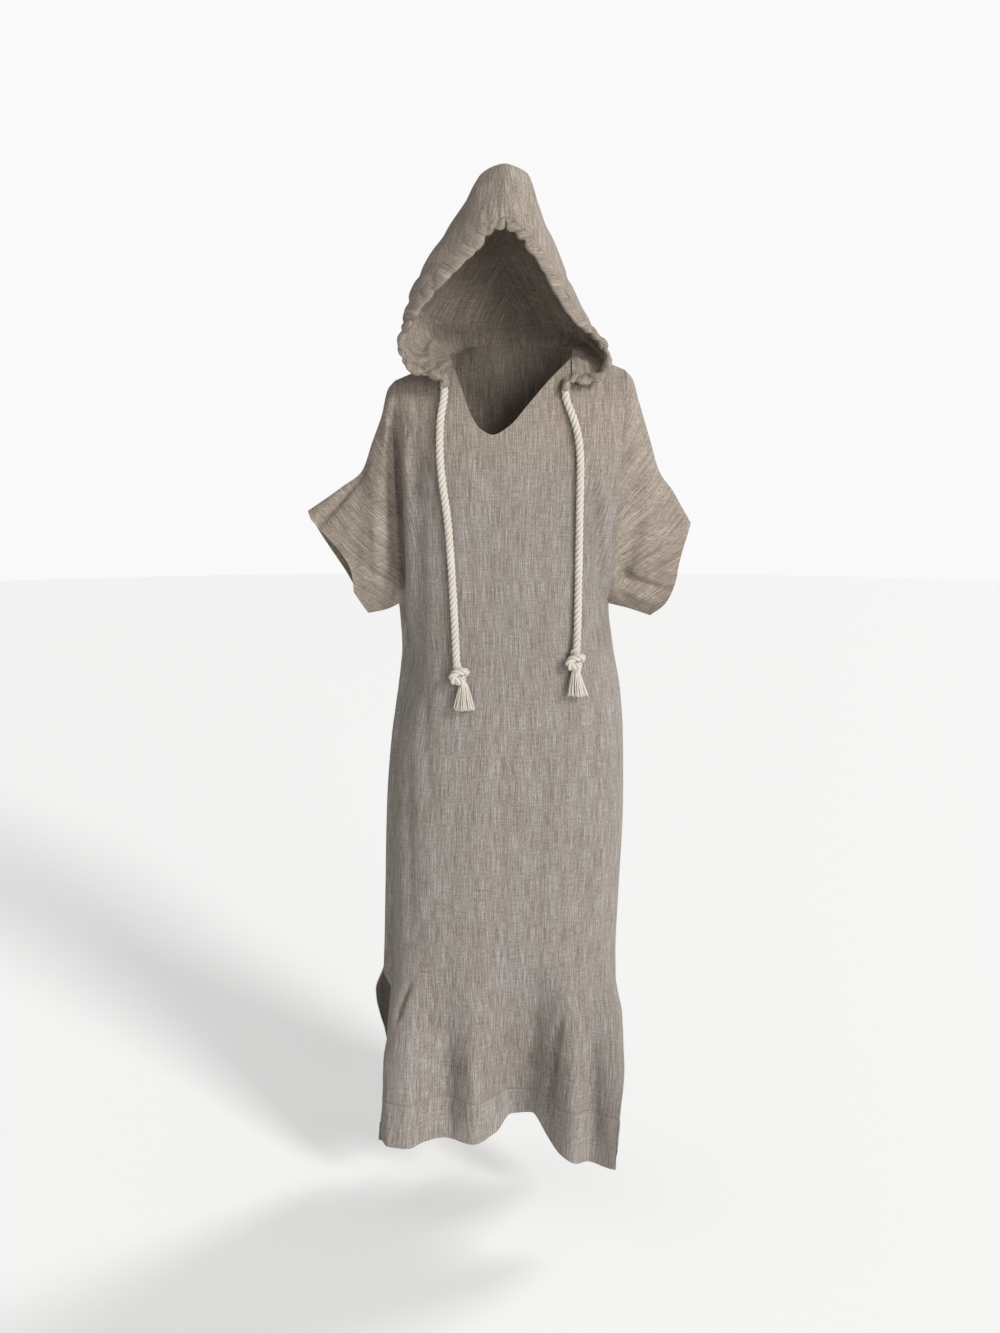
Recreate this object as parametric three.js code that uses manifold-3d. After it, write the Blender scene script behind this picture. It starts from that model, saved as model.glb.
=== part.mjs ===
// Hooded kaftan in slubby linen, in its hollow worn form: kimono-cut front and back with grown-on sleeves,
// side slits, a V neck, a pointed hood with a ruched drawcord casing, and two knotted, frayed rope ends.
// Millimetres. +X is to the right of someone who looks at its front, -Y is its front and +Z is up.
// The origin is the middle of the shoulder line.
import * as THREE from "three";
import { mergeVertices } from "three/addons/utils/BufferGeometryUtils.js";
import Module from "manifold-3d";

const wasm = await Module();
wasm.setup();

// ---------------------------------------------------------------- driving sizes
const cloth = { wall: 2, hemWall: 3, seamGap: 0.3 };
const level = { underarm: -388, slitTop: -1045, hemTurn: -1265, hem: -1343 };
const shoulder = { seamY: 5, rounding: 115 }; // how far down the cloth has turned from the seam to the chest
const rope = { diameter: 13, sides: 10, steps: 22 };
const casing = { halfWidth: 12, halfDepth: 8, sides: 6, gathers: 22, gatherDepth: 2.6, stationsPerRow: 4 };
const knot = { width: 34, depth: 31, height: 31, strandGroove: 2.2 };
const tassel = {
  headRadius: 8, headHeight: 9, length: 46,
  locks: 15, lockWidth: 4, topRadius: 6.5, bottomRadius: 14,
};
const neck = { axisX: 8, axisY: 8, panelLean: 0.75, hoodLean: -0.6 };

// ---------------------------------------------------------------- tables
// Sections of the body: half widths of the plan curve to each side, its depth to the front and to the back,
// and how square its corners are (2 is an ellipse). Above the underarm the sleeves cut the curve off.
const sections = [
  { z: 70, left: 262, right: 262, front: 88, back: 88, squareLeft: 2.6, squareRight: 2.4 },
  { z: 0, left: 246, right: 252, front: 97, back: 100, squareLeft: 2.6, squareRight: 2.4 },
  { z: -90, left: 230, right: 240, front: 113, back: 110, squareLeft: 2.6, squareRight: 2.4 },
  { z: -200, left: 210, right: 222, front: 123, back: 112, squareLeft: 2.7, squareRight: 2.4 },
  { z: -300, left: 195, right: 202, front: 127, back: 108, squareLeft: 2.8, squareRight: 2.4 },
  { z: -388, left: 182, right: 180, front: 128, back: 106, squareLeft: 2.9, squareRight: 2.5 },
  { z: -460, left: 178, right: 188, front: 128, back: 108, squareLeft: 3.0, squareRight: 2.6 },
  { z: -540, left: 186, right: 202, front: 127, back: 114, squareLeft: 3.2, squareRight: 2.7 },
  { z: -620, left: 195, right: 208, front: 125, back: 118, squareLeft: 3.3, squareRight: 2.7 },
  { z: -740, left: 205, right: 210, front: 121, back: 118, squareLeft: 3.3, squareRight: 2.7 },
  { z: -900, left: 208, right: 204, front: 116, back: 114, squareLeft: 3.3, squareRight: 2.7 },
  { z: -1045, left: 214, right: 199, front: 111, back: 110, squareLeft: 3.2, squareRight: 2.7 },
  { z: -1110, left: 227, right: 210, front: 109, back: 110, squareLeft: 3.0, squareRight: 2.7 },
  { z: -1180, left: 220, right: 214, front: 107, back: 110, squareLeft: 3.0, squareRight: 2.7 },
  { z: -1250, left: 216, right: 213, front: 106, back: 110, squareLeft: 3.0, squareRight: 2.7 },
  { z: -1343, left: 224, right: 209, front: 105, back: 110, squareLeft: 3.0, squareRight: 2.7 },
];

// Height of the shoulder line over each x; between the neck points it runs on, over the neck.
const shoulderLine = [
  { x: -260, z: -45 },
  { x: -186, z: -10 },
  { x: -155, z: 3 },
  { x: -97, z: 34 },
  { x: 0, z: 68 },
  { x: 112, z: 44 },
  { x: 181, z: 17 },
  { x: 203, z: 8 },
  { x: 270, z: -24 },
];

// Top edge of the front panel, by column: shoulder seam, side of the neck, V slit, and the same back up.
const frontTop = [
  { column: 0, x: -186, z: -10 },
  { column: 3, x: -150, z: 5.5 },
  { column: 5, x: -97, z: 34 },
  { column: 6, x: -94, z: 30.5 },
  { column: 7, x: -90, z: 24 },
  { column: 8, x: -86, z: 14 },
  { column: 9, x: -69, z: -33 },
  { column: 10, x: -55, z: -71 },
  { column: 11, x: -39, z: -94 },
  { column: 12, x: -19, z: -103 },
  { column: 13, x: 8, z: -88 },
  { column: 14, x: 36, z: -56 },
  { column: 15, x: 72, z: -14 },
  { column: 16, x: 110, z: 25 },
  { column: 17, x: 112, z: 34 },
  { column: 18, x: 112.5, z: 40 },
  { column: 19, x: 112, z: 44 },
  { column: 21, x: 165, z: 23 },
  { column: 24, x: 203, z: 8 },
];

// Neck edge of the back panel, from one neck point round the back to the other.
const backNeck = [
  { column: 5, x: -97, y: 5, z: 34 },
  { column: 7, x: -84, y: 42, z: 44 },
  { column: 9, x: -54, y: 65, z: 52 },
  { column: 12, x: 0, y: 74, z: 56 },
  { column: 15, x: 62, y: 66, z: 53 },
  { column: 17, x: 96, y: 42, z: 48 },
  { column: 19, x: 112, y: 5, z: 44 },
];

// Grown-on sleeves: the overarm line from the shoulder to the cuff, the cuff, and the underarm line.
const sleeves = {
  left: {
    overarm: [
      { x: -186, z: -10 },
      { x: -196, z: -22 },
      { x: -207, z: -62 },
      { x: -226, z: -113 },
      { x: -246, z: -164 },
      { x: -274, z: -185 },
      { x: -305, z: -207 },
      { x: -338, z: -229 },
    ],
    cuff: [
      { x: -338, z: -229 },
      { x: -322, z: -264 },
      { x: -300, z: -300 },
      { x: -277, z: -335 },
      { x: -259, z: -366 },
      { x: -236, z: -405 },
    ],
    underarm: [
      { x: -236, z: -405 },
      { x: -203, z: -398 },
      { x: -182, z: -388 },
    ],
    frontDepth: 44,
    backDepth: 42,
    grooveDepth: 44,
    grooveWidth: 13,
    frontCuffInset: 10,
  },
  right: {
    overarm: [
      { x: 203, z: 8 },
      { x: 215, z: -6 },
      { x: 226, z: -39 },
      { x: 248, z: -109 },
      { x: 266, z: -165 },
      { x: 287, z: -193 },
      { x: 304, z: -222 },
      { x: 320, z: -249 },
    ],
    cuff: [
      { x: 320, z: -249 },
      { x: 307, z: -287 },
      { x: 298, z: -322 },
      { x: 294, z: -346 },
      { x: 278, z: -384 },
      { x: 252, z: -409 },
    ],
    underarm: [
      { x: 252, z: -409 },
      { x: 216, z: -397 },
      { x: 180, z: -388 },
    ],
    frontDepth: 56,
    backDepth: 44,
    grooveDepth: 20,
    grooveWidth: 20,
    frontCuffInset: 3,
  },
};

// Folds at the hem: how far forward (-) or back (+) the cloth hangs there, and how far the edge is lifted.
const frontHem = [
  { x: -224, y: -62, lift: -6 },
  { x: -208, y: -98, lift: 0 },
  { x: -172, y: -106, lift: 0 },
  { x: -142, y: -78, lift: 0 },
  { x: -110, y: -64, lift: 0 },
  { x: -56, y: -92, lift: 0 },
  { x: -17, y: -56, lift: 2 },
  { x: 14, y: -12, lift: 10 },
  { x: 48, y: -10, lift: 11 },
  { x: 78, y: -62, lift: 2 },
  { x: 98, y: -124, lift: -2 },
  { x: 125, y: -152, lift: -8 },
  { x: 180, y: -156, lift: -12 },
  { x: 209, y: -112, lift: -8 },
];
const backHem = [
  { x: -224, y: 62, lift: 0 },
  { x: -196, y: 112, lift: 0 },
  { x: -150, y: 92, lift: 0 },
  { x: -96, y: 124, lift: 0 },
  { x: -42, y: 98, lift: 0 },
  { x: 8, y: 120, lift: 0 },
  { x: 62, y: 134, lift: 0 },
  { x: 112, y: 102, lift: 0 },
  { x: 160, y: 120, lift: 0 },
  { x: 209, y: 70, lift: 0 },
];

// Rim of the face opening: centres of the casing from the top of the opening to the mouth the cord leaves by.
const rims = {
  left: [
    { x: 0, y: -130, z: 229 },
    { x: -30, y: -128, z: 213 },
    { x: -57, y: -125, z: 191 },
    { x: -88, y: -119, z: 164 },
    { x: -116, y: -108, z: 134 },
    { x: -140, y: -95, z: 102 },
    { x: -156, y: -82, z: 68 },
    { x: -163, y: -76, z: 38 },
    { x: -152, y: -78, z: 14 },
    { x: -132, y: -85, z: 0 },
    { x: -112, y: -91, z: -5 },
    { x: -101, y: -94, z: -12 },
    { x: -98.2, y: -95, z: -19 },
    { x: -98, y: -95, z: -26 },
  ],
  right: [
    { x: 0, y: -130, z: 229 },
    { x: 30, y: -127, z: 206 },
    { x: 52, y: -124, z: 179 },
    { x: 73, y: -118, z: 147 },
    { x: 93, y: -108, z: 114 },
    { x: 115, y: -96, z: 84 },
    { x: 141, y: -84, z: 61 },
    { x: 160, y: -76, z: 42 },
    { x: 167, y: -75, z: 18 },
    { x: 157, y: -79, z: -3 },
    { x: 137, y: -86, z: -13 },
    { x: 114, y: -93, z: -12 },
    { x: 102, y: -98, z: -17 },
    { x: 98.2, y: -101, z: -25 },
    { x: 98, y: -101, z: -32 },
  ],
};

// Hood rows from the top of the face opening to the neck. share is how far along the rim a row starts.
// side pulls the row outwards just behind the rim, rear pulls it round the back, seam is on the centre seam.
const hoodRows = [
  { share: 0.0, sideX: 0, sideY: -110, sideZ: 292, rearX: 0, rearY: -66, rearZ: 350, seamY: -18, seamZ: 352 },
  { share: 0.08, sideX: 50, sideY: -95, sideZ: 280, rearX: 48, rearY: -12, rearZ: 346, seamY: 26, seamZ: 345 },
  { share: 0.17, sideX: 80, sideY: -84, sideZ: 243, rearX: 70, rearY: 20, rearZ: 311, seamY: 62, seamZ: 324 },
  { share: 0.28, sideX: 116, sideY: -68, sideZ: 204, rearX: 96, rearY: 52, rearZ: 264, seamY: 98, seamZ: 282 },
  { share: 0.4, sideX: 148, sideY: -48, sideZ: 168, rearX: 116, rearY: 76, rearZ: 216, seamY: 124, seamZ: 234 },
  { share: 0.52, sideX: 168, sideY: -26, sideZ: 130, rearX: 126, rearY: 92, rearZ: 170, seamY: 135, seamZ: 186 },
  { share: 0.63, sideX: 172, sideY: -4, sideZ: 94, rearX: 128, rearY: 98, rearZ: 126, seamY: 132, seamZ: 140 },
  { share: 0.73, sideX: 166, sideY: 10, sideZ: 66, rearX: 124, rearY: 92, rearZ: 92, seamY: 119, seamZ: 105 },
  { share: 0.82, sideX: 152, sideY: 14, sideZ: 52, rearX: 112, rearY: 80, rearZ: 74, seamY: 101, seamZ: 83 },
  { share: 0.91, sideX: 130, sideY: 2, sideZ: 44, rearX: 104, rearY: 74, rearZ: 62, seamY: 86, seamZ: 68 },
  { share: 1.0, sideX: 106, sideY: -12, sideZ: 40, rearX: 90, rearY: 74, rearZ: 56, seamY: 74, seamZ: 56 },
];

// How far the right half of the hood reaches out, as a share of the left half's sideX and rearX.
const rightReach = [
  { share: 0.0, reach: 1 },
  { share: 0.08, reach: 0.95 },
  { share: 0.17, reach: 0.85 },
  { share: 0.28, reach: 0.8 },
  { share: 0.4, reach: 0.76 },
  { share: 0.52, reach: 0.78 },
  { share: 0.63, reach: 0.84 },
  { share: 0.73, reach: 0.95 },
  { share: 0.82, reach: 1.04 },
  { share: 0.91, reach: 1.08 },
  { share: 1.0, reach: 1.14 },
];

// Routes of the two free rope ends, from the casing's mouth down to the knot.
const routes = {
  left: [
    { x: -98, y: -95, z: -26.9 },
    { x: -98, y: -95.2, z: -33 },
    { x: -98.6, y: -99, z: -43 },
    { x: -101, y: -104, z: -58 },
    { x: -104, y: -109.5, z: -78 },
    { x: -105, y: -112.5, z: -98 },
    { x: -105.5, y: -115, z: -120 },
    { x: -104.5, y: -117.5, z: -145 },
    { x: -102, y: -120, z: -175 },
    { x: -96.5, y: -123, z: -214 },
    { x: -91.5, y: -126, z: -256 },
    { x: -88, y: -129, z: -305 },
    { x: -85, y: -131.3, z: -354 },
    { x: -82.5, y: -132.6, z: -404 },
    { x: -80.8, y: -134, z: -440 },
    { x: -79, y: -137, z: -477.1 },
  ],
  right: [
    { x: 98, y: -101, z: -32.8 },
    { x: 98.2, y: -101.2, z: -38 },
    { x: 100, y: -102.4, z: -48 },
    { x: 105, y: -105, z: -61 },
    { x: 111, y: -108, z: -77 },
    { x: 117, y: -110, z: -97 },
    { x: 120.5, y: -111.5, z: -118 },
    { x: 122.5, y: -113, z: -146 },
    { x: 122.5, y: -115, z: -176 },
    { x: 122, y: -116.5, z: -214 },
    { x: 121.5, y: -118, z: -256 },
    { x: 121, y: -119.3, z: -305 },
    { x: 120.5, y: -119.3, z: -354 },
    { x: 120, y: -120.3, z: -404 },
    { x: 119, y: -124, z: -436 },
    { x: 118, y: -127, z: -455.2 },
  ],
};
const knots = {
  left: { x: -75, y: -141.5, z: -492.4, tasselX: -66, tasselY: -140, tasselZ: -507.7, lean: 1 },
  right: { x: 116, y: -132, z: -470.2, tasselX: 113, tasselY: -131, tasselZ: -486.1, lean: 6 },
};

const frontColumns = [...Array(25).keys()];
const backColumns = [0, 1, 2, 3, 4, 5, 7, 9, 12, 15, 17, 19, 20, 21, 22, 23, 24];
const lastColumn = 24;
const grid = { topRows: 12, middleRows: 10, hemRows: 8, sleeveSteps: 7, hoodRows: 18, hoodStepsPerSeam: 2 };

// ---------------------------------------------------------------- small helpers
const mix = (a, b, t) => a + (b - a) * t;
const clamp01 = (t) => Math.min(1, Math.max(0, t));
const smooth = (from, to, value) => {
  const t = clamp01((value - from) / (to - from));
  return t * t * (3 - 2 * t);
};

// Value of one named column of a table at a place along another, on a smooth curve that never overshoots.
function lookUp(table, along, wanted, at) {
  const rising = table[table.length - 1][along] > table[0][along];
  const rows = rising ? table : [...table].reverse();
  const last = rows.length - 1;
  if (at <= rows[0][along]) return rows[0][wanted];
  if (at >= rows[last][along]) return rows[last][wanted];
  const i = rows.findIndex((row) => row[along] > at) - 1;
  const slopeAt = (k) => {
    if (k <= 0 || k >= last) return 0;
    const before = (rows[k][wanted] - rows[k - 1][wanted]) / (rows[k][along] - rows[k - 1][along]);
    const after = (rows[k + 1][wanted] - rows[k][wanted]) / (rows[k + 1][along] - rows[k][along]);
    return before * after <= 0 ? 0 : (2 * before * after) / (before + after);
  };
  const span = rows[i + 1][along] - rows[i][along];
  const t = (at - rows[i][along]) / span;
  const [a, b] = [rows[i][wanted], rows[i + 1][wanted]];
  const [ma, mb] = [slopeAt(i) * span, slopeAt(i + 1) * span];
  const [t2, t3] = [t ** 2, t ** 3];
  return (2 * t3 - 3 * t2 + 1) * a + (t3 - 2 * t2 + t) * ma + (3 * t2 - 2 * t3) * b + (t3 - t2) * mb;
}

// Straight-line value between the rows of a table.
function lookUpStraight(table, along, wanted, at) {
  const i = Math.max(1, table.findIndex((row) => row[along] >= at));
  const [a, b] = [table[i - 1], table[i]];
  return mix(a[wanted], b[wanted], clamp01((at - a[along]) / (b[along] - a[along])));
}

const toVector = (row) => new THREE.Vector3(row.x, row.y ?? 0, row.z);

// Point at a share of the length of a chain of straight stretches.
function alongChain(rows, share) {
  const points = rows.map(toVector);
  const lengths = points.slice(1).map((p, i) => p.distanceTo(points[i]));
  let left = share * lengths.reduce((sum, l) => sum + l, 0);
  for (let i = 0; i < lengths.length; i++) {
    if (left <= lengths[i] || i === lengths.length - 1)
      return points[i].clone().lerp(points[i + 1], clamp01(left / lengths[i]));
    left -= lengths[i];
  }
  return points[0];
}

// ---------------------------------------------------------------- closed walls
// A closed wall from outer points [row][column]. Each point holds p and, on a seam, its own normal n.
// outwards is the sign of rows-across-columns that faces out, cellIn says which cells have cloth, and wallAt
// gives the thickness at a point.
function clothWall(points, outwards, cellIn, wallAt) {
  const rows = points.length;
  const columns = points[0].length;
  const hasCell = (r, c) => r >= 0 && c >= 0 && r < rows - 1 && c < columns - 1 && cellIn(r, c);
  const normals = points.map((row) => row.map(() => new THREE.Vector3()));
  for (let r = 0; r < rows - 1; r++)
    for (let c = 0; c < columns - 1; c++) {
      if (!hasCell(r, c)) continue;
      const [p00, p01] = [points[r][c].p, points[r][c + 1].p];
      const [p10, p11] = [points[r + 1][c].p, points[r + 1][c + 1].p];
      const across = p01.clone().add(p11).sub(p00).sub(p10);
      const down = p10.clone().add(p11).sub(p00).sub(p01);
      const n = across.cross(down).normalize().multiplyScalar(outwards);
      for (const [a, b] of [[r, c], [r, c + 1], [r + 1, c], [r + 1, c + 1]]) normals[a][b].add(n);
    }
  const vertices = [];
  const faces = [];
  const outer = new Map();
  const key = (r, c) => r * columns + c;
  const vertexPair = (r, c) => {
    if (!outer.has(key(r, c))) {
      const at = points[r][c];
      const n = at.n ?? normals[r][c].normalize();
      const inside = at.p.clone().addScaledVector(n, -wallAt(r, c));
      outer.set(key(r, c), vertices.length / 3);
      vertices.push(...at.p.toArray(), ...inside.toArray());
    }
    return outer.get(key(r, c));
  };
  const quad = (a, b, c, d) => faces.push(a, b, c, a, c, d);
  for (let r = 0; r < rows - 1; r++)
    for (let c = 0; c < columns - 1; c++) {
      if (!hasCell(r, c)) continue;
      const [a, b] = [vertexPair(r, c), vertexPair(r, c + 1)];
      const [d, e] = [vertexPair(r + 1, c), vertexPair(r + 1, c + 1)];
      quad(a, b, e, d);
      quad(a + 1, d + 1, e + 1, b + 1);
      if (!hasCell(r - 1, c)) quad(b, a, a + 1, b + 1);
      if (!hasCell(r + 1, c)) quad(d, e, e + 1, d + 1);
      if (!hasCell(r, c - 1)) quad(a, d, d + 1, a + 1);
      if (!hasCell(r, c + 1)) quad(e, b, b + 1, e + 1);
    }
  return closedGeometry(vertices, faces);
}

// A buffer geometry whose faces point outwards.
function closedGeometry(vertices, faces) {
  const at = (i) => new THREE.Vector3(...vertices.slice(3 * i, 3 * i + 3));
  let volume = 0;
  for (let i = 0; i < faces.length; i += 3)
    volume += at(faces[i]).dot(at(faces[i + 1]).cross(at(faces[i + 2])));
  const swapped = [0, 1, -1]; // the second and third corner of a triangle change places
  const turned = volume < 0 ? faces.map((_, i) => faces[i + swapped[i % 3]]) : faces;
  const geometry = new THREE.BufferGeometry();
  geometry.setAttribute("position", new THREE.Float32BufferAttribute(vertices, 3));
  geometry.setIndex(turned);
  geometry.computeVertexNormals();
  return geometry;
}

// ---------------------------------------------------------------- the two panels
const sideKey = (x) => (x < 0 ? "left" : "right");
const squareKey = (x) => (x < 0 ? "squareLeft" : "squareRight");
const sleeveEase = 8; // how much wider the plan curve runs over the sleeve holes than at the underarm
const hangingHem = { front: frontHem, back: backHem };
const forward = { front: -1, back: 1 };

// Share of the way from the slit top's shape to the hem's folded shape.
const hemShare = (z) => smooth(level.slitTop + 90, level.hem, z) ** 0.8;

// Depth of the cloth, front or back, over a place given by x and height.
function clothY(panel, x, z) {
  const ease = sleeveEase * smooth(level.underarm, level.underarm + 60, z);
  const halfWidth = lookUp(sections, "z", sideKey(x), z) + ease;
  const square = lookUp(sections, "z", squareKey(x), z);
  const plan = Math.max(0, 1 - Math.abs(x / halfWidth) ** square) ** (1 / square);
  const depth = lookUp(sections, "z", panel, z) * plan;
  const drop = clamp01((lookUp(shoulderLine, "x", "z", x) - z) / shoulder.rounding);
  const seamY = shoulder.seamY * smooth(level.underarm, level.underarm / 2, z);
  return seamY + forward[panel] * depth * Math.sqrt(1 - (1 - drop) ** 2) + armFold(panel, x, z);
}

// The deep fold that the cloth makes between body and sleeve.
function armFold(panel, x, z) {
  const sleeve = sleeves[sideKey(x)];
  const foldX = mix(sleeve.overarm[0].x, sleeve.underarm[2].x, clamp01(z / level.underarm));
  const strength = smooth(-15, -120, z) * smooth(level.underarm, level.underarm + 70, z);
  const reach = Math.exp(-(((x - foldX) / sleeve.grooveWidth) ** 2));
  const share = panel === "front" ? 1 : 0.7;
  return -forward[panel] * sleeve.grooveDepth * share * strength * reach;
}

// Angle of a column round the half section, and the plan point that it gives at a height.
function sectionPoint(panel, column, z) {
  const angle = mix(-Math.PI / 2, Math.PI / 2, column / lastColumn);
  const square = lookUp(sections, "z", column < lastColumn / 2 ? "squareLeft" : "squareRight", z);
  const halfWidth = lookUp(sections, "z", column < lastColumn / 2 ? "left" : "right", z);
  const x = Math.sign(Math.sin(angle)) * halfWidth * Math.abs(Math.sin(angle)) ** (2 / square);
  const depth = lookUp(sections, "z", panel, z) * Math.max(0, Math.cos(angle)) ** (2 / square);
  const hem = hangingHem[panel];
  const hanging = forward[panel] * depth;
  const y = mix(hanging, lookUp(hem, "x", "y", x), hemShare(z));
  const lifted = z + lookUp(hem, "x", "lift", x) * smooth(level.hemTurn, level.hem, z);
  return new THREE.Vector3(x, y, lifted);
}

// Top edge point of a column: the shoulder seam, the side of the neck or the V, or the back's neck curve.
function topPoint(panel, column) {
  if (panel === "back" && column >= 5 && column <= 19)
    return new THREE.Vector3(...["x", "y", "z"].map((k) => lookUpStraight(backNeck, "column", k, column)));
  const x = lookUpStraight(frontTop, "column", "x", column);
  const z = lookUpStraight(frontTop, "column", "z", column);
  const onSeam = column <= 5 || column >= 19;
  return new THREE.Vector3(x, onSeam ? shoulder.seamY : clothY("front", x, z), z);
}

const rowShare = (r) => 0.5 - 0.5 * Math.cos((Math.PI * r) / grid.topRows);

// A point of the body part of a panel in the rows between its top edge and the underarm.
function bodyPoint(panel, column, r) {
  const top = topPoint(panel, column);
  const bottom = sectionPoint(panel, column, level.underarm);
  const share = rowShare(r);
  const x = mix(top.x, bottom.x, share);
  const z = mix(top.z, bottom.z, share);
  const held = top.y - clothY(panel, top.x, top.z); // not 0 on the back's neck edge alone
  return new THREE.Vector3(x, clothY(panel, x, z) + held * (1 - share) ** 6, z);
}

// A point of a sleeve: a runs from the fold at the body to the cuff, and r is the same row as the body's.
function sleevePoint(panel, side, a, r) {
  const sleeve = sleeves[side];
  const b = rowShare(r);
  const under = [...sleeve.underarm].reverse();
  const inner = mixPoint(toVector(sleeve.overarm[0]), toVector(under[0]), b);
  const rim = alongChain(sleeve.cuff, b);
  const [top, bottom] = [alongChain(sleeve.overarm, a), alongChain(under, a)];
  const corners = mixPoint(
    mixPoint(toVector(sleeve.overarm[0]), toVector(under[0]), b),
    mixPoint(toVector(sleeve.cuff[0]), toVector(sleeve.cuff[sleeve.cuff.length - 1]), b),
    a,
  );
  const p = mixPoint(top, bottom, b).add(mixPoint(inner, rim, a)).sub(corners);
  const round = Math.sin(Math.PI * b) ** 0.6;
  const deepest = panel === "front" ? sleeve.frontDepth : sleeve.backDepth;
  const depth = deepest * round * mix(1, 0.72, smooth(0.4, 1, a));
  const seamY = mix(shoulder.seamY, 0, b);
  p.y = mix(clothY(panel, inner.x, inner.z), seamY + forward[panel] * depth, smooth(0, 0.3, a));
  if (panel === "front") p.x -= Math.sign(p.x) * sleeve.frontCuffInset * round * smooth(0.5, 1, a);
  return p;
}

const mixPoint = (p, q, t) => p.clone().lerp(q, t);

// Heights of the rows below the underarm.
function lowerHeights() {
  const steps = (from, to, count) => [...Array(count).keys()].map((i) => mix(from, to, (i + 1) / count));
  const middle = steps(level.underarm, level.slitTop, grid.middleRows);
  return [...middle, ...steps(level.slitTop, level.hem, grid.hemRows)];
}

// Direction out of the cloth at the neck's edge: the panels slope down from it, and the hood bellies up.
function neckNormal(p, lean) {
  const out = new THREE.Vector3(p.x - neck.axisX, p.y - neck.axisY, 0).normalize();
  return out.setZ(lean).normalize();
}

// One panel: sleeve columns, body columns and sleeve columns, over the rows from the shoulders to the hem.
function panelGeometry(panel, bodyColumns) {
  const steps = grid.sleeveSteps;
  const width = bodyColumns.length + 2 * steps;
  const lower = lowerHeights();
  const rows = grid.topRows + 1 + lower.length;
  const slitRow = grid.topRows + grid.middleRows;
  const points = [];
  for (let r = 0; r < rows; r++) {
    const row = [];
    for (let c = 0; c < width; c++) {
      const i = c - steps;
      const onTopRows = r <= grid.topRows;
      const side = i < 0 ? "left" : "right";
      const a = i < 0 ? -i / steps : (i - bodyColumns.length + 1) / steps;
      if (i >= 0 && i < bodyColumns.length) {
        const column = bodyColumns[i];
        const below = lower[r - grid.topRows - 1];
        row.push({ p: onTopRows ? bodyPoint(panel, column, r) : sectionPoint(panel, column, below) });
      } else row.push(onTopRows ? { p: sleevePoint(panel, side, a, r) } : null);
    }
    points.push(row);
  }
  const last = bodyColumns.length - 1;
  const fold = { left: steps, right: steps + last };

  // Seams: shared normals without a forward part, and half the gap to the other panel.
  const chain = (list, outwards) =>
    list.forEach(([r, c], k) => {
      const [before, after] = [list[Math.max(0, k - 1)], list[Math.min(list.length - 1, k + 1)]];
      const run = points[after[0]][after[1]].p.clone().sub(points[before[0]][before[1]].p).setY(0);
      const n = new THREE.Vector3(-run.z, 0, run.x).normalize().multiplyScalar(outwards);
      points[r][c].n = points[r][c].n ? points[r][c].n.clone().add(n).normalize() : n;
      points[r][c].seam = true;
    });
  const neckFrom = steps + bodyColumns.indexOf(5);
  const neckTo = steps + bodyColumns.indexOf(19);
  const across = (from, to, r) => [...Array(to - from + 1).keys()].map((k) => [r, from + k]);
  const down = (from, to, c) => [...Array(to - from + 1).keys()].map((k) => [from + k, c]);
  chain(across(0, neckFrom, 0), 1);
  chain(across(neckTo, width - 1, 0), 1);
  chain(across(0, fold.left, grid.topRows), -1);
  chain(across(fold.right, width - 1, grid.topRows), -1);
  chain(down(grid.topRows, slitRow, fold.left), -1);
  chain(down(grid.topRows, slitRow, fold.right), 1);
  for (const row of points)
    for (const at of row) {
      if (!at?.seam) continue;
      at.p.y = shoulder.seamY * smooth(level.underarm, level.underarm / 2, at.p.z);
      at.p.y += forward[panel] * (cloth.seamGap / 2);
    }
  for (let c = neckFrom; c <= neckTo; c++) {
    const beside = panel === "back" || bodyColumns[c - steps] <= 8 || bodyColumns[c - steps] >= 16;
    if (beside) points[0][c].n = neckNormal(points[0][c].p, neck.panelLean);
  }
  const cellIn = (r, c) => r < grid.topRows || (c >= fold.left && c < fold.right);
  const hemStart = rows - 3;
  return clothWall(points, forward[panel], cellIn, (r) => (r >= hemStart ? cloth.hemWall : cloth.wall));
}

// ---------------------------------------------------------------- the hood
const hoodSide = { left: -1, right: 1 };

// One of the two points that pull a hood row out of a straight line.
function hoodPull(side, name, at) {
  const value = (axis) => lookUp(hoodRows, "share", name + axis, at);
  const reach = side === "right" ? lookUp(rightReach, "share", "reach", at) : 1;
  return new THREE.Vector3(hoodSide[side] * reach * value("X"), value("Y"), value("Z"));
}

// Rim frame at a share of the rim: centre, direction of travel, and towards the hood's cloth.
function rimFrame(side, share) {
  const curve = new THREE.CatmullRomCurve3(rims[side].map(toVector), false, "centripetal");
  const centre = curve.getPointAt(share);
  const travel = share === 0 ? new THREE.Vector3(hoodSide[side], 0, 0) : curve.getTangentAt(share);
  const at = Math.min(1, share / rimEnd);
  const pull = hoodPull(side, "side", at).sub(centre);
  const toCloth = pull.addScaledVector(travel, -pull.dot(travel)).normalize();
  return { centre, travel, toCloth };
}

const rimEnd = 0.93; // the casing runs on past the hood's own front edge, down to its mouth
const rowShares = [...Array(grid.hoodRows + 1).keys()].map((j) => {
  const t = j / grid.hoodRows;
  return rimEnd * mix(t, 1 - (1 - t) ** 1.6, 0.45);
});
const flatSide = casing.halfWidth * Math.cos(Math.PI / casing.sides);

// Neck seam of one half: from the rim past the V's corner and the neck point round to the back.
function neckSeam(side) {
  const mirrored = side === "left" ? (column) => column : (column) => lastColumn - column;
  const front = [8, 7, 6, 5].map((column) => topPoint("front", mirrored(column)));
  const back = [7, 9, 12].map((column) => topPoint("back", mirrored(column)));
  return [...front, ...back];
}

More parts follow.
